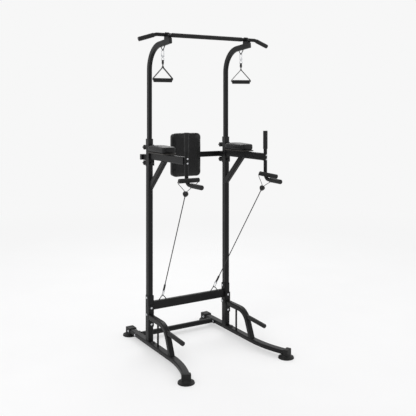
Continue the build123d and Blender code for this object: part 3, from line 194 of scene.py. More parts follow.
def spread_value(nodes, links, factor, low, high):
    """A value that runs from low to high."""
    spread = nodes.new("ShaderNodeMapRange")
    spread.inputs["From Min"].default_value = 0.3
    spread.inputs["From Max"].default_value = 0.7
    spread.inputs["To Min"].default_value = low
    spread.inputs["To Max"].default_value = high
    links.new(factor, spread.inputs["Value"])
    return spread.outputs["Result"]


def bump(nodes, links, height, distance, strength=1.0, normal=None):
    """A bump of this height in metres, over another normal if there is one."""
    node = nodes.new("ShaderNodeBump")
    node.inputs["Distance"].default_value = distance
    node.inputs["Strength"].default_value = strength
    links.new(height, node.inputs["Height"])
    if normal is not None:
        links.new(normal, node.inputs["Normal"])
    return node.outputs["Normal"]


def eased_edges(nodes, radius):
    """Normals that round every sharp edge by this radius."""
    node = nodes.new("ShaderNodeBevel")
    node.samples = 4
    node.inputs["Radius"].default_value = radius
    return node.outputs["Normal"]


def powder_coat():
    """Satin black powder coat with a fine orange peel."""
    material, nodes, links, shader, place = node_material("powder_coat")
    broad = noise(nodes, links, place, 9, 4)
    peel = noise(nodes, links, place, 620, 2)
    grit = noise(nodes, links, place, 2600, 1)
    colour = blend_colours(nodes, links, broad, (0.0045, 0.0045, 0.005), (0.0065, 0.0065, 0.007))
    links.new(colour, shader.inputs["Base Color"])
    links.new(spread_value(nodes, links, grit, 0.36, 0.50), shader.inputs["Roughness"])
    shader.inputs["Specular IOR Level"].default_value = 0.2
    under = bump(nodes, links, peel, 0.00012, 0.5, eased_edges(nodes, 0.0012))
    links.new(bump(nodes, links, grit, 0.00004, 0.6, under), shader.inputs["Normal"])
    return material


def foam():
    """Closed-cell foam with a pitted skin."""
    material, nodes, links, shader, place = node_material("foam")
    broad = noise(nodes, links, place, 26, 3)
    pits = cells(nodes, links, place, 1500)
    lumps = noise(nodes, links, place, 240, 3)
    colour = blend_colours(nodes, links, broad, (0.006, 0.006, 0.0063), (0.0095, 0.0095, 0.0098))
    links.new(colour, shader.inputs["Base Color"])
    links.new(spread_value(nodes, links, lumps, 0.62, 0.80), shader.inputs["Roughness"])
    shader.inputs["Specular IOR Level"].default_value = 0.3
    shader.inputs["Sheen Weight"].default_value = 0.06
    shader.inputs["Sheen Roughness"].default_value = 0.45
    under = bump(nodes, links, lumps, 0.0003, 0.5)
    links.new(bump(nodes, links, pits, 0.00018, 0.7, under), shader.inputs["Normal"])
    return material


def vinyl():
    """Grained synthetic leather."""
    material, nodes, links, shader, place = node_material("vinyl")
    broad = noise(nodes, links, place, 14, 3)
    grain = cells(nodes, links, place, 620, 0.35)
    creases = noise(nodes, links, place, 150, 6, 0.62)
    colour = blend_colours(nodes, links, broad, (0.004, 0.004, 0.0044), (0.007, 0.007, 0.0074))
    links.new(colour, shader.inputs["Base Color"])
    links.new(spread_value(nodes, links, creases, 0.36, 0.50), shader.inputs["Roughness"])
    shader.inputs["Specular IOR Level"].default_value = 0.22
    shader.inputs["Coat Weight"].default_value = 0.08
    shader.inputs["Coat Roughness"].default_value = 0.35
    under = bump(nodes, links, creases, 0.0005, 0.5)
    links.new(bump(nodes, links, grain, 0.0003, 0.8, under), shader.inputs["Normal"])
    return material


def moulded(name, dark, light, smooth, rough, edge):
    """A moulded black plastic or rubber with a fine spark-eroded texture."""
    material, nodes, links, shader, place = node_material(name)
    broad = noise(nodes, links, place, 30, 3)
    texture = noise(nodes, links, place, 1400, 3)
    colour = blend_colours(nodes, links, broad, dark, light)
    links.new(colour, shader.inputs["Base Color"])
    links.new(spread_value(nodes, links, broad, smooth, rough), shader.inputs["Roughness"])
    shader.inputs["Specular IOR Level"].default_value = 0.3
    surface = bump(nodes, links, texture, 0.0001, 0.6, eased_edges(nodes, edge))
    links.new(surface, shader.inputs["Normal"])
    return material


def zinc():
    """Bright zinc plating, slightly clouded."""
    material, nodes, links, shader, place = node_material("zinc")
    cloud = noise(nodes, links, place, 260, 4)
    scratch = noise(nodes, links, place, 1900, 2)
    colour = blend_colours(nodes, links, cloud, (0.52, 0.53, 0.55), (0.74, 0.75, 0.77))
    links.new(colour, shader.inputs["Base Color"])
    links.new(spread_value(nodes, links, scratch, 0.20, 0.36), shader.inputs["Roughness"])
    shader.inputs["Metallic"].default_value = 1
    surface = bump(nodes, links, scratch, 0.00003, 0.5, eased_edges(nodes, 0.0005))
    links.new(surface, shader.inputs["Normal"])
    return material


def stained_board():
    """Dark stained plywood with a faint grain along the board."""
    material, nodes, links, shader, place = node_material("board")
    stretch = nodes.new("ShaderNodeMapping")
    stretch.inputs["Scale"].default_value = (14, 1.2, 1.2)
    links.new(place, stretch.inputs["Vector"])
    grain = noise(nodes, links, stretch.outputs["Vector"], 40, 6, 0.65)
    colour = blend_colours(nodes, links, grain, (0.012, 0.011, 0.010), (0.030, 0.026, 0.022))
    links.new(colour, shader.inputs["Base Color"])
    links.new(spread_value(nodes, links, grain, 0.5, 0.7), shader.inputs["Roughness"])
    surface = bump(nodes, links, grain, 0.0002, 0.5, eased_edges(nodes, 0.001))
    links.new(surface, shader.inputs["Normal"])
    return material


def ribs(nodes, links, place, scale, direction):
    """Parallel ribs along one direction of these coordinates."""
    texture = nodes.new("ShaderNodeTexWave")
    texture.wave_type = "BANDS"
    texture.bands_direction = direction
    texture.inputs["Scale"].default_value = scale
    texture.inputs["Distortion"].default_value = 0.4
    links.new(place, texture.inputs["Vector"])
    return texture.outputs["Fac"]


def crossed(nodes, links, one, other):
    """The product of two patterns."""
    node = nodes.new("ShaderNodeMath")
    node.operation = "MULTIPLY"
    links.new(one, node.inputs[0])
    links.new(other, node.inputs[1])
    return node.outputs["Value"]


def woven(name, warp, weft, height):
    """Black weave whose threads follow the coordinates that the mesh carries, across and along the strip."""
    material, nodes, links, shader, place = node_material(name)
    carried = nodes.new("ShaderNodeAttribute")
    carried.attribute_name = "weave"
    threads = crossed(
        nodes, links,
        ribs(nodes, links, carried.outputs["Vector"], warp, "X"),
        ribs(nodes, links, carried.outputs["Vector"], weft, "Y"),
    )
    broad = noise(nodes, links, place, 90, 4)
    colour = blend_colours(nodes, links, broad, (0.006, 0.006, 0.0065), (0.011, 0.011, 0.0115))
    links.new(colour, shader.inputs["Base Color"])
    links.new(spread_value(nodes, links, broad, 0.7, 0.85), shader.inputs["Roughness"])
    shader.inputs["Sheen Weight"].default_value = 0.25
    links.new(bump(nodes, links, threads, height, 0.9), shader.inputs["Normal"])
    return material


def cord_sheath():
    """The cords' tight braided sheath."""
    material, nodes, links, shader, place = node_material("cord")
    strands = ribs(nodes, links, place, 260, "DIAGONAL")
    braid = crossed(nodes, links, strands, ribs(nodes, links, place, 310, "Z"))
    broad = noise(nodes, links, place, 60, 3)
    colour = blend_colours(nodes, links, broad, (0.0065, 0.0065, 0.007), (0.012, 0.012, 0.0125))
    links.new(colour, shader.inputs["Base Color"])
    links.new(spread_value(nodes, links, broad, 0.6, 0.78), shader.inputs["Roughness"])
    links.new(bump(nodes, links, braid, 0.0003, 0.8), shader.inputs["Normal"])
    return material


def pale_floor():
    """The plain floor: pale, softly shaded round the object, and as bright as the surround further out."""
    material, nodes, links, shader, place = node_material("floor")
    broad = noise(nodes, links, place, 2, 2)
    near = blend_colours(nodes, links, broad, (0.44, 0.44, 0.443), (0.45, 0.45, 0.453))
    distance = nodes.new("ShaderNodeVectorMath")
    distance.operation = "LENGTH"
    links.new(place, distance.inputs[0])
    far = nodes.new("ShaderNodeMapRange")
    far.interpolation_type = "SMOOTHSTEP"
    far.inputs["From Min"].default_value = 1.2
    far.inputs["From Max"].default_value = 6.5
    links.new(distance.outputs["Value"], far.inputs["Value"])
    fade = nodes.new("ShaderNodeMix")
    fade.data_type = "RGBA"
    fade.inputs[7].default_value = (0, 0, 0, 1)
    glow = nodes.new("ShaderNodeMapRange")
    glow.inputs["To Min"].default_value = FLOOR_GLOW
    glow.inputs["To Max"].default_value = SURROUND_BRIGHT
    links.new(far.outputs["Result"], fade.inputs[0])
    links.new(far.outputs["Result"], glow.inputs["Value"])
    links.new(near, fade.inputs[6])
    links.new(fade.outputs[2], shader.inputs["Base Color"])
    links.new(glow.outputs["Result"], shader.inputs["Emission Strength"])
    shader.inputs["Roughness"].default_value = 0.9
    shader.inputs["Specular IOR Level"].default_value = 0
    shader.inputs["Emission Color"].default_value = (1, 1, 1, 1)
    return material


MATERIALS = {
    "powder_coat": powder_coat(),
    "foam": foam(),
    "vinyl": vinyl(),
    "foot_rubber": moulded(
        "foot_rubber", dark=(0.006, 0.006, 0.006), light=(0.010, 0.010, 0.010),
        smooth=0.55, rough=0.7, edge=0.0015,
    ),
    "stopper_rubber": moulded(
        "stopper_rubber", dark=(0.006, 0.006, 0.006), light=(0.0095, 0.0095, 0.0095),
        smooth=0.4, rough=0.55, edge=0.001,
    ),
    "black_plastic": moulded(
        "black_plastic", dark=(0.0065, 0.0065, 0.007), light=(0.010, 0.010, 0.0105),
        smooth=0.38, rough=0.5, edge=0.0008,
    ),
    "board": stained_board(),
    "zinc": zinc(),
    "webbing": woven("webbing", warp=190, weft=130, height=0.0005),
    "cord": cord_sheath(),
}


# Mesh helpers

def new_object(name, vertices, faces, material, smooth=True):
    """A mesh object at the origin, in the frame's own axes."""
    mesh = bpy.data.meshes.new(name)
    mesh.from_pydata([tuple(v) for v in vertices], [], faces)
    mesh.validate()
    mesh.update()
    for polygon in mesh.polygons:
        polygon.use_smooth = smooth
    mesh.materials.append(material)
    piece = bpy.data.objects.new(name, mesh)
    bpy.context.scene.collection.objects.link(piece)
    return piece


def dress(piece, slot_name, body, *replaced):
    """A piece's body and the nodes that it stands for. slot_name is not used."""
    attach(piece, body)
    if replaced:
        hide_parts(*replaced)
    return piece


def turned_shell(profile, origin, axis):
    """A closed surface of revolution. profile is a closed loop of (radius, distance along the axis)."""
    turn = Vector((0, 0, 1)).rotation_difference(Vector(axis))
    vertices, faces = [], []
    count = len(profile)
    for radius, along in profile:
        for k in range(RING_STEPS):
            angle = 2 * pi * k / RING_STEPS
            local = Vector((radius * cos(angle), radius * sin(angle), along))
            vertices.append(Vector(origin) + turn @ local)
    for j in range(count):
        a, b = j * RING_STEPS, (j + 1) % count * RING_STEPS
        for k in range(RING_STEPS):
            m = (k + 1) % RING_STEPS
            faces.append((a + k, a + m, b + m, b + k))
    return vertices, faces


def rounded_sleeve(inner, outer, start, end, rounding=EDGE_ROUNDING, steps=5):
    """The profile of a sleeve whose outer corners are round."""
    profile = [(inner, start)]
    for k in range(steps + 1):
        angle = pi / 2 * k / steps
        profile.append((outer - rounding + rounding * sin(angle), start + rounding - rounding * cos(angle)))
    for k in range(steps + 1):
        angle = pi / 2 * k / steps
        profile.append((outer - rounding + rounding * cos(angle), end - rounding + rounding * sin(angle)))
    return profile + [(inner, end)]


def islands(node):
    """The vertices of each separate solid of a CAD node."""
    work = bmesh.new()
    work.from_mesh(NODES[node].data)
    bmesh.ops.remove_doubles(work, verts=work.verts, dist=1e-6)
    found, seen = [], set()
    for start in work.verts:
        if start in seen:
            continue
        group, queue = [], [start]
        seen.add(start)
        while queue:
            vertex = queue.pop()
            group.append(vertex.co.copy())
            for edge in vertex.link_edges:
                other = edge.other_vert(vertex)
                if other not in seen:
                    seen.add(other)
                    queue.append(other)
        found.append(group)
    work.free()
    return found


def cylinder_of(points):
    """(one end, unit axis, length, inner radius, outer radius) of a long round sleeve's vertices."""
    centre = sum(points, Vector()) / len(points)
    axis = max(points, key=lambda p: (p - centre).length) - centre
    axis.normalize()
    for _ in range(30):
        pull = sum(((p - centre) * (p - centre).dot(axis) for p in points), Vector())
        axis = pull.normalized()
    along = [(p - centre).dot(axis) for p in points]
    low, high = min(along), max(along)
    middle = centre + axis * (low + high) / 2
    radii = [((p - middle) - axis * (p - middle).dot(axis)).length for p in points]
    return middle - axis * (high - low) / 2, axis, high - low, min(radii), max(radii)


def joined(name, shells, material):
    """One object out of several (vertices, faces) shells."""
    vertices, faces = [], []
    for some_vertices, some_faces in shells:
        shift = len(vertices)
        vertices += some_vertices
        faces += [tuple(i + shift for i in face) for face in some_faces]
    return new_object(name, vertices, faces, material)


def make_normals_outward(piece):
    """Turns every face of a closed mesh outward."""
    work = bmesh.new()
    work.from_mesh(piece.data)
    bmesh.ops.recalc_face_normals(work, faces=work.faces)
    work.to_mesh(piece.data)
    work.free()


# Foam sleeves and turning grips

def foam_sleeves(node):
    """Every foam sleeve of one node, with rounded ends."""
    shells = []
    for points in islands(node):
        start, axis, length, inner, outer = cylinder_of(points)
        shells.append(turned_shell(rounded_sleeve(inner, outer, 0, length), start, axis))
    piece = joined(f"{node}_foam", shells, MATERIALS["foam"])
    make_normals_outward(piece)
    dress(piece, "foam", BODY_OF[node], node)
    return piece


def turning_grip(node):
    """A handle's grip: a foam sleeve between two plastic end caps, on a plastic core."""
    points = [point for group in islands(node) for point in group]
    start, axis, length, bore, outer = cylinder_of(points)
    foam_start, foam_end = GRIP_CAP + FOAM_GAP, length - GRIP_CAP - FOAM_GAP
    profile = rounded_sleeve(outer - FOAM_UNDERSIDE, outer - FOAM_TOP, foam_start, foam_end, FOAM_ROUNDING)
    sleeve = joined(f"{node}_foam", [turned_shell(profile, start, axis)], MATERIALS["foam"])
    make_normals_outward(sleeve)
    dress(sleeve, "foam", BODY_OF[node], node)
    caps = []
    for low, high in ((0, GRIP_CAP), (length - GRIP_CAP, length)):
        caps.append(turned_shell(rounded_sleeve(bore, outer, low, high, GRIP_CAP_ROUNDING), start, axis))
    core_end = length - GRIP_CAP
    core = rounded_sleeve(outer - CORE_INSIDE, outer - CORE_OUTSIDE, GRIP_CAP, core_end, CORE_ROUNDING)
    caps.append(turned_shell(core, start, axis))
    caps_piece = joined(f"{node}_caps", caps, MATERIALS["black_plastic"])
    make_normals_outward(caps_piece)
    dress(caps_piece, "black_plastic", BODY_OF[node])


# Webbing

def ribbon(path, across, widths, thickness):
    """A strip along path, across giving its width direction: (vertices, faces, weave coordinates)."""
    vertices, faces, weave = [], [], []
    run = 0.0
    for k, point in enumerate(path):
        before, after = path[max(k - 1, 0)], path[min(k + 1, len(path) - 1)]
        along = (after - before).normalized()
        side = (across[k] - along * across[k].dot(along)).normalized()
        up = along.cross(side)
        if k:
            run += (point - path[k - 1]).length
        half, thin = widths[k] / 2, thickness / 2
        corners = (
            (-half, -thin * RIM_SHARE), (-half, thin * RIM_SHARE),
            (-half * FACE_SHARE, thin), (half * FACE_SHARE, thin),
            (half, thin * RIM_SHARE), (half, -thin * RIM_SHARE),
            (half * FACE_SHARE, -thin), (-half * FACE_SHARE, -thin),
        )
        for u, v in corners:
            vertices.append(point + side * u + up * v)
            weave.append((u, run, v))
    ring = len(corners)
    for k in range(len(path) - 1):
        for j in range(ring):
            m = (j + 1) % ring
            faces.append((k * ring + j, k * ring + m, (k + 1) * ring + m, (k + 1) * ring + j))
    last = (len(path) - 1) * ring
    faces.append(tuple(range(ring)))
    faces.append(tuple(last + j for j in reversed(range(ring))))
    return vertices, faces, weave


def strap_paths():
    """The strap's strips as (path, across, widths): X along the grip, Y across it, Z up from the rod."""
    across_grip, along_grip = Vector((0, 1, 0)), Vector((1, 0, 0))
    bar = Vector((0, 0, -EYE_BAR_DROP))
    strips = []
    angles = [radians(-60 + 300 * k / 20) for k in range(21)]
    loop = [bar + Vector((0, cos(a) * STRAP_LOOP_RADIUS, sin(a) * STRAP_LOOP_RADIUS)) for a in angles]
    strips.append((loop, [along_grip] * len(loop), [STRAP_NARROW] * len(loop)))
    stem_top, stem_low = -EYE_BAR_DROP - STRAP_LOOP_RADIUS, -STRAP_APEX_DROP
    for offset in (-0.5, 0.5):
        path, across, widths = [], [], []
        for k in range(STRAP_STEM_STEPS + 1):
            t = k / STRAP_STEM_STEPS
            twist = pi / 2 * (3 * t * t - 2 * t ** 3)
            side = along_grip * cos(twist) + across_grip * sin(twist)
            normal = Vector((-side.y, side.x, 0))
            middle = Vector((0, 0, stem_top + (stem_low - stem_top) * t))
            path.append(middle + normal * offset * WEBBING_THICKNESS * STRAP_LAYING)
            across.append(side)
            widths.append(STRAP_NARROW + (STRAP_WIDE - STRAP_NARROW) * min(1, t * 1.6))
        strips.append((path, across, widths))
    for side in (-1, 1):
        corners = [
            Vector((side * STRAP_APEX_TOP_GAP, 0, -STRAP_APEX_DROP + STRAP_APEX_RISE)),
            Vector((side * STRAP_APEX_LOW_GAP, 0, -STRAP_APEX_DROP - STRAP_APEX_FALL)),
            Vector((side * STRAP_SIDE, 0, -STRAP_KNEE_DROP)),
            Vector((side * STRAP_SIDE, 0, -GRIP_DROP)),
            Vector((side * (STRAP_SIDE - STRAP_TUCK), 0, -GRIP_DROP)),
        ]
        path = smooth_leg(corners)
        widths = []
        for point in path:
            inward = max(0.0, min(1.0, (STRAP_KNEE_DROP + point.z) / -STRAP_TAPER))
            widths.append(STRAP_WIDE + (STRAP_IN_GRIP - STRAP_WIDE) * inward)
        strips.append((path, [across_grip] * len(path), widths))
    return strips


def smooth_leg(corners):
    """A strap's leg: straight runs with small round corners."""
    path = [corners[0]]
    for before, corner, after in zip(corners, corners[1:], corners[2:]):
        start_run, end_run = before - corner, after - corner
        start = corner + start_run.normalized() * min(STRAP_CORNER, start_run.length * STRAP_CORNER_SHARE)
        end = corner + end_run.normalized() * min(STRAP_CORNER, end_run.length * STRAP_CORNER_SHARE)
        for k in range(7):
            t = k / 6
            path.append(start.lerp(corner, t).lerp(corner.lerp(end, t), t))
    path.append(corners[-1])
    dense = [path[0]]
    for a, b in zip(path, path[1:]):
        count = max(1, int((b - a).length / STRAP_STEP))
        dense += [a.lerp(b, k / count) for k in range(1, count + 1)]
    return dense


def handle_strap(side):
    """The webbing of one hanging handle, turned as the handle hangs."""
    swivel = JOINTS[f"eye_{side}_swivel"]["pos_m"]
    grip_axis = Vector(JOINTS[f"grip_{side}_spin"]["axis"])
    grip_place = Vector(JOINTS[f"grip_{side}_spin"]["pos_m"])
    turn = Matrix.Rotation(atan2(grip_axis.y, grip_axis.x), 4, "Z")
    place = Matrix.Translation((swivel[0], swivel[1], grip_place.z + GRIP_DROP)) @ turn
    vertices, faces, weave = [], [], []
    for path, across, widths in strap_paths():
        some_vertices, some_faces, some_weave = ribbon(path, across, widths, WEBBING_THICKNESS)
        shift = len(vertices)
        vertices += [place @ v for v in some_vertices]
        faces += [tuple(i + shift for i in face) for face in some_faces]
        weave += some_weave
    node = f"handle_strap_{side}"
    piece = new_object(f"{node}_webbing", vertices, faces, MATERIALS["webbing"])
    attribute = piece.data.attributes.new("weave", "FLOAT_VECTOR", "POINT")
    for k, value in enumerate(weave):
        attribute.data[k].vector = value
    make_normals_outward(piece)
    dress(piece, "webbing", BODY_OF[node], node)


# Cords

def cord_curve(name, route, diameter, body, node):
    """A round cord on one smooth spline whose control points are the route."""
    curve = bpy.data.curves.new(name, "CURVE")
    curve.dimensions = "3D"
    curve.bevel_depth = diameter / 2
    curve.bevel_resolution = 5
    curve.resolution_u = 12
    spline = curve.splines.new("NURBS")
    spline.points.add(len(route) - 1)
    for point, place in zip(spline.points, route):
        point.co = (*place, 1)
    spline.order_u = 3
    spline.use_endpoint_u = True
    curve.materials.append(MATERIALS["cord"])
    piece = bpy.data.objects.new(name, curve)
    bpy.context.scene.collection.objects.link(piece)
    return dress(piece, "cord", body, node)


def band(side):
    """One resistance band: the taut cord, and the thin cord that carries the grip."""
    sign = SIDES[side]
    hook = Vector((sign * BAND_HOOK_PLACE[0], *BAND_HOOK_PLACE[1:]))
    stopper = Vector((sign * STOPPER_PLACE[0], *STOPPER_PLACE[1:]))
    along = (stopper - hook).normalized()
    start, end = hook + along * FERRULE_END, stopper - along * STOPPER_LENGTH / 2
    route = [start, start + along * BAND_CALM, end - along * BAND_CALM, end]
    taut = cord_curve(f"band_{side}", route, BAND_DIAMETER, "frame", f"band_cord_{side}")
    grip = JOINTS[f"band_grip_{side}_spin"]
    centre, axis = Vector(grip["pos_m"]), Vector(grip["axis"]).normalized()
    top = stopper + along * STOPPER_LENGTH / 2
    spread = (axis - along * axis.dot(along)).normalized() * CORD_SPREAD
    drop = (top - centre) - axis * (top - centre).dot(axis)
    drop = drop.normalized() * CORD_TURN_DROP
    reach = axis * (BAND_GRIP_LENGTH / 2 + CORD_TURN_OUT)
    calm = axis * HANDLE_CORD_CALM
    lift = along * CORD_EXIT_RUN
    route = [
        top - spread, top - spread + lift, centre - reach + drop, centre - reach, centre - reach + calm,
        centre + reach - calm, centre + reach, centre + reach + drop, top + spread + lift, top + spread,
    ]
    thin = cord_curve(f"handle_cord_line_{side}", route, HANDLE_CORD_DIAMETER, "frame", f"handle_cord_{side}")


# Padded pieces

def box_mesh(name, low, high, corner, depth_axis):
    """A block with rounded corners in its face and eased edges, as the start of a cushion."""
    work = bmesh.new()
    bmesh.ops.create_cube(work, size=1)
    size = [b - a for a, b in zip(low, high)]
    middle = [(a + b) / 2 for a, b in zip(low, high)]
    for vertex in work.verts:
        vertex.co = [m + c * s for m, c, s in zip(middle, vertex.co, size)]
    corners = [e for e in work.edges if abs((e.verts[0].co - e.verts[1].co)[depth_axis]) > 1e-6]
    bmesh.ops.bevel(work, geom=corners, offset=corner, segments=8, profile=0.5, affect="EDGES")
    rims = [e for e in work.edges if e.calc_face_angle(0) > radians(40)]
    bmesh.ops.bevel(work, geom=rims, offset=CUSHION_EDGE, segments=4, profile=0.5, affect="EDGES")
    mesh = bpy.data.meshes.new(name)
    work.to_mesh(mesh)
    work.free()
    piece = bpy.data.objects.new(name, mesh)
    bpy.context.scene.collection.objects.link(piece)
    return piece


def with_modifiers(piece):
    """Replaces a piece's mesh by its evaluated one and drops the modifiers."""
    graph = bpy.context.evaluated_depsgraph_get()
    mesh = bpy.data.meshes.new_from_object(piece.evaluated_get(graph))
    piece.modifiers.clear()
    piece.data = mesh
    return piece


def remeshed(piece, voxel):
    """An even mesh of the piece's surface."""
    modifier = piece.modifiers.new("even", "REMESH")
    modifier.mode = "VOXEL"
    modifier.voxel_size = voxel
    return with_modifiers(piece)


def inflated(piece, depth_axis, back, outward, most):
    """Cloth filled with pressure, held where it lies on its board. No point moves further than most."""
    before = [v.co.copy() for v in piece.data.vertices]
    held = piece.vertex_groups.new(name="held")
    on_board = [v.index for v in piece.data.vertices if abs(v.co[depth_axis] - back) < BOARD_REACH]
    held.add(on_board, 1.0, "REPLACE")
    cloth = piece.modifiers.new("cloth", "CLOTH")
    settings = cloth.settings
    settings.quality = 6
    settings.mass = 0.3
    settings.tension_stiffness = 18
    settings.compression_stiffness = 12
    settings.bending_stiffness = 4
    settings.use_pressure = True
    settings.uniform_pressure_force = 4
    settings.effector_weights.gravity = 0
    settings.vertex_group_mass = "held"
    cloth.collision_settings.use_collision = False
    cloth.point_cache.frame_start = 1
    cloth.point_cache.frame_end = CLOTH_FRAMES
    scene = bpy.context.scene
    for number in range(1, CLOTH_FRAMES + 1):
        scene.frame_set(number)
    graph = bpy.context.evaluated_depsgraph_get()
    swollen = bpy.data.meshes.new_from_object(piece.evaluated_get(graph))
    piece.modifiers.clear()
    piece.vertex_groups.clear()
    piece.data = swollen
    middle = sum(before, Vector()) / len(before)
    for vertex, rest in zip(swollen.vertices, before):
        move = vertex.co - rest
        for axis in range(3):
            outside = outward if axis == depth_axis else rest[axis] - middle[axis]
            if move[axis] * outside < 0:
                move[axis] *= SINKING_KEPT
        if move.length > most:
            move = move.normalized() * most
        vertex.co = rest + move
        if (vertex.co[depth_axis] - back) * outward < 0:
            vertex.co[depth_axis] = back
    scene.frame_set(1)
    return piece


def seam_line(piece, name, depth_axis, level):
    """A raised seam round a cushion at one level of its depth, lying on its surface."""
    graph = bpy.context.evaluated_depsgraph_get()
    tree = BVHTree.FromObject(piece, graph)
    box = [piece.matrix_world @ Vector(corner) for corner in piece.bound_box]
    centre = sum(box, Vector()) / 8
    centre[depth_axis] = level
    u, v = [k for k in range(3) if k != depth_axis]
    points = []
    for k in range(SEAM_STEPS):
        angle = 2 * pi * k / SEAM_STEPS
        ray = Vector()
        ray[u], ray[v] = cos(angle), sin(angle)
        hit, _, _, _ = tree.ray_cast(centre + ray, -ray)
        points.append(hit)
    curve = bpy.data.curves.new(name, "CURVE")
    curve.dimensions = "3D"
    curve.bevel_depth = SEAM_DIAMETER / 2
    curve.bevel_resolution = 3
    spline = curve.splines.new("POLY")
    spline.points.add(len(points) - 1)
    for point, place in zip(spline.points, points):
        point.co = (*place, 1)
    spline.use_cyclic_u = True
    curve.materials.append(MATERIALS["vinyl"])
    seam = bpy.data.objects.new(name, curve)
    bpy.context.scene.collection.objects.link(seam)
    return seam


def cushion(node, depth_axis, outward, corner, swell, most, seam_depth):
    """A padded cushion that fills a CAD block: remeshed, swollen by cloth pressure, then seamed.

    The block starts smaller by swell, and no point of it moves further than most.
    The seam lies seam_depth from the board.
    """
    low, high = (Vector(c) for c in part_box(node))
    back = low[depth_axis] if outward > 0 else high[depth_axis]
    for axis in range(3):
        if axis != depth_axis:
            low[axis] += swell
            high[axis] -= swell
    if outward > 0:
        high[depth_axis] -= swell
    else:
        low[depth_axis] += swell
    piece = box_mesh(f"{node}_cushion", low, high, corner, depth_axis)
    remeshed(piece, CUSHION_VOXEL)
    inflated(piece, depth_axis, back, outward, most)
    relax = piece.modifiers.new("relax", "SMOOTH")
    relax.factor = 0.5
    relax.iterations = 4
    finer = piece.modifiers.new("finer", "SUBSURF")
    finer.levels = 1
    finer.render_levels = 1
    with_modifiers(piece)
    for polygon in piece.data.polygons:
        polygon.use_smooth = True
    piece.data.materials.clear()
    piece.data.materials.append(MATERIALS["vinyl"])
    dress(piece, "vinyl", BODY_OF[node], node)
    seam = seam_line(piece, f"{node}_seam", depth_axis, back + outward * seam_depth)
    dress(seam, "vinyl", BODY_OF[node])


# Knobs

def star_knob(node):
    """A moulded star knob with a domed face, a skirted hub and a zinc stud."""
    low, high = (Vector(c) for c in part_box(node))
    centre_x, centre_z = (low.x + high.x) / 2, (low.z + high.z) / 2
    radius = (high.x - low.x) / 2
    back = high.y
    front = back - KNOB_HEAD_DEPTH
    hub_front = back - KNOB_HUB_DEPTH
    # (place along Y, radius or share of the star's outline, whether it is the star's outline)
    rings = [
        (hub_front, 0.0095, False), (hub_front, 0.0108, False),
        (front - 0.0015, 0.0112, False), (front - 0.0005, 0.0116, False),
        (front, 0.6, True), (front + 0.0004, 0.90, True),
        (front + 0.0022, 0.985, True), (front + 0.005, 1.0, True),
        (back - 0.005, 1.0, True), (back - 0.0022, 0.975, True), (back - 0.0006, 0.88, True),
        (back - 0.0001, 0.66, True), (back, 0.30, True),
    ]
    vertices, faces = [], []
    for y, size, is_star in rings:
        for k in range(KNOB_STEPS):
            angle = 2 * pi * k / KNOB_STEPS
            reach = size
            if is_star:
                wave = 0.5 + 0.5 * cos(KNOB_LOBES * angle)
                reach = size * radius * (1 - KNOB_LOBE_DEPTH + KNOB_LOBE_DEPTH * wave ** 0.8)
            vertices.append((centre_x + reach * cos(angle), y, centre_z + reach * sin(angle)))
    for j in range(len(rings) - 1):
        for k in range(KNOB_STEPS):
            m = (k + 1) % KNOB_STEPS
            near, far = j * KNOB_STEPS, (j + 1) * KNOB_STEPS
            faces.append((near + k, near + m, far + m, far + k))
    faces.append(tuple(reversed(range(KNOB_STEPS))))
    last = (len(rings) - 1) * KNOB_STEPS
    faces.append(tuple(last + k for k in range(KNOB_STEPS)))
    piece = new_object(f"{node}_star", vertices, faces, MATERIALS["black_plastic"])
    make_normals_outward(piece)
    dress(piece, "black_plastic", BODY_OF[node], node)
    stud_length = hub_front - low.y + STUD_IN_HUB
    stud = rounded_sleeve(STUD_CORE, STUD_RADIUS, 0, stud_length, STUD_ROUNDING)
    stud_shell = turned_shell(stud, (centre_x, low.y, centre_z), (0, 1, 0))
    stud_piece = joined(f"{node}_stud", [stud_shell], MATERIALS["zinc"])
    make_normals_outward(stud_piece)
    dress(stud_piece, "zinc", BODY_OF[node])


# The scene

def dress_cad_nodes():
    """Every CAD node gets the finish of its slot."""
    for name, node in NODES.items():
        for slot in node.material_slots:
            slot.material = MATERIALS[SLOT_OF[name]]


def camera():
    """The camera: level, in front and to the left, with the lens shifted down."""
    data = bpy.data.cameras.new("camera")
    data.sensor_width = 36
    data.lens = CAMERA_LENS
    data.shift_y = CAMERA_SHIFT_Y
    data.clip_end = 60
    piece = bpy.data.objects.new("camera", data)
    piece.location = CAMERA_PLACE
    piece.rotation_euler = (pi / 2, 0, CAMERA_AZIMUTH)
    bpy.context.scene.collection.objects.link(piece)
    bpy.context.scene.camera = piece


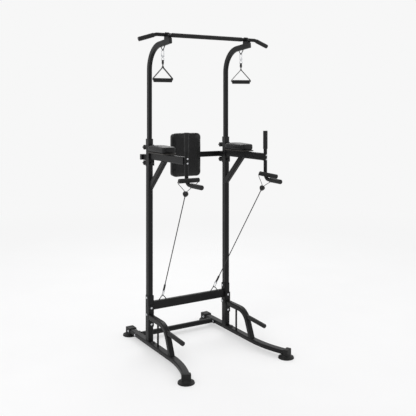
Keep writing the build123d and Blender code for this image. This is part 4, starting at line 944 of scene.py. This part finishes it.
def area_light(name, place, target, size, power):
    """A soft square light that faces target."""
    data = bpy.data.lights.new(name, "AREA")
    data.shape = "SQUARE"
    data.size = size
    data.energy = power
    piece = bpy.data.objects.new(name, data)
    piece.location = place
    piece.rotation_mode = "QUATERNION"
    piece.rotation_quaternion = (Vector(target) - Vector(place)).to_track_quat("-Z", "Y")
    bpy.context.scene.collection.objects.link(piece)


def studio():
    """A pale floor, a white surround and three soft lights."""
    corners = [(x * FLOOR_HALF, y * FLOOR_HALF, 0) for x, y in ((-1, -1), (1, -1), (1, 1), (-1, 1))]
    floor = new_object("floor", corners, [(0, 1, 2, 3)], pale_floor(), smooth=False)
    floor.location.z = -FLOOR_DROP
    world = bpy.data.worlds.new("surround")
    world.use_nodes = True
    nodes, links = world.node_tree.nodes, world.node_tree.links
    toward = nodes.new("ShaderNodeVectorMath")
    toward.operation = "DOT_PRODUCT"
    toward.inputs[1].default_value = (-sin(CAMERA_AZIMUTH), cos(CAMERA_AZIMUTH), 0)
    links.new(nodes.new("ShaderNodeTexCoord").outputs["Generated"], toward.inputs[0])
    brightness = nodes.new("ShaderNodeMapRange")
    brightness.interpolation_type = "SMOOTHSTEP"
    brightness.inputs["From Min"].default_value = -0.1
    brightness.inputs["From Max"].default_value = 0.75
    brightness.inputs["To Min"].default_value = SURROUND_DIM
    brightness.inputs["To Max"].default_value = SURROUND_BRIGHT
    links.new(toward.outputs["Value"], brightness.inputs["Value"])
    nodes["Background"].inputs["Color"].default_value = (1, 1, 1, 1)
    links.new(brightness.outputs["Result"], nodes["Background"].inputs["Strength"])
    bpy.context.scene.world = world
    for name, (place, target, size, power) in LIGHTS.items():
        area_light(name, place, target, size, power)
    bpy.context.scene.view_settings.view_transform = "Standard"


camera()
for name in SIDES:
    band(name)
dress_cad_nodes()
for name in SIDES:
    handle_strap(name)
    turning_grip(f"hanging_grip_{name}")
    turning_grip(f"band_grip_{name}")
    star_knob(f"mast_knob_{name}")
    star_knob(f"back_knob_{name}")
    cushion(
        f"arm_pad_{name}", depth_axis=2, outward=1, corner=0.018, swell=0.004, most=0.008, seam_depth=0.033,
    )
cushion("backrest_pad", depth_axis=1, outward=-1, corner=0.034, swell=0.003, most=0.009, seam_depth=0.026)
for name in ("push_up_grips", "handle_grips", "bar_grips"):
    foam_sleeves(name)
studio()
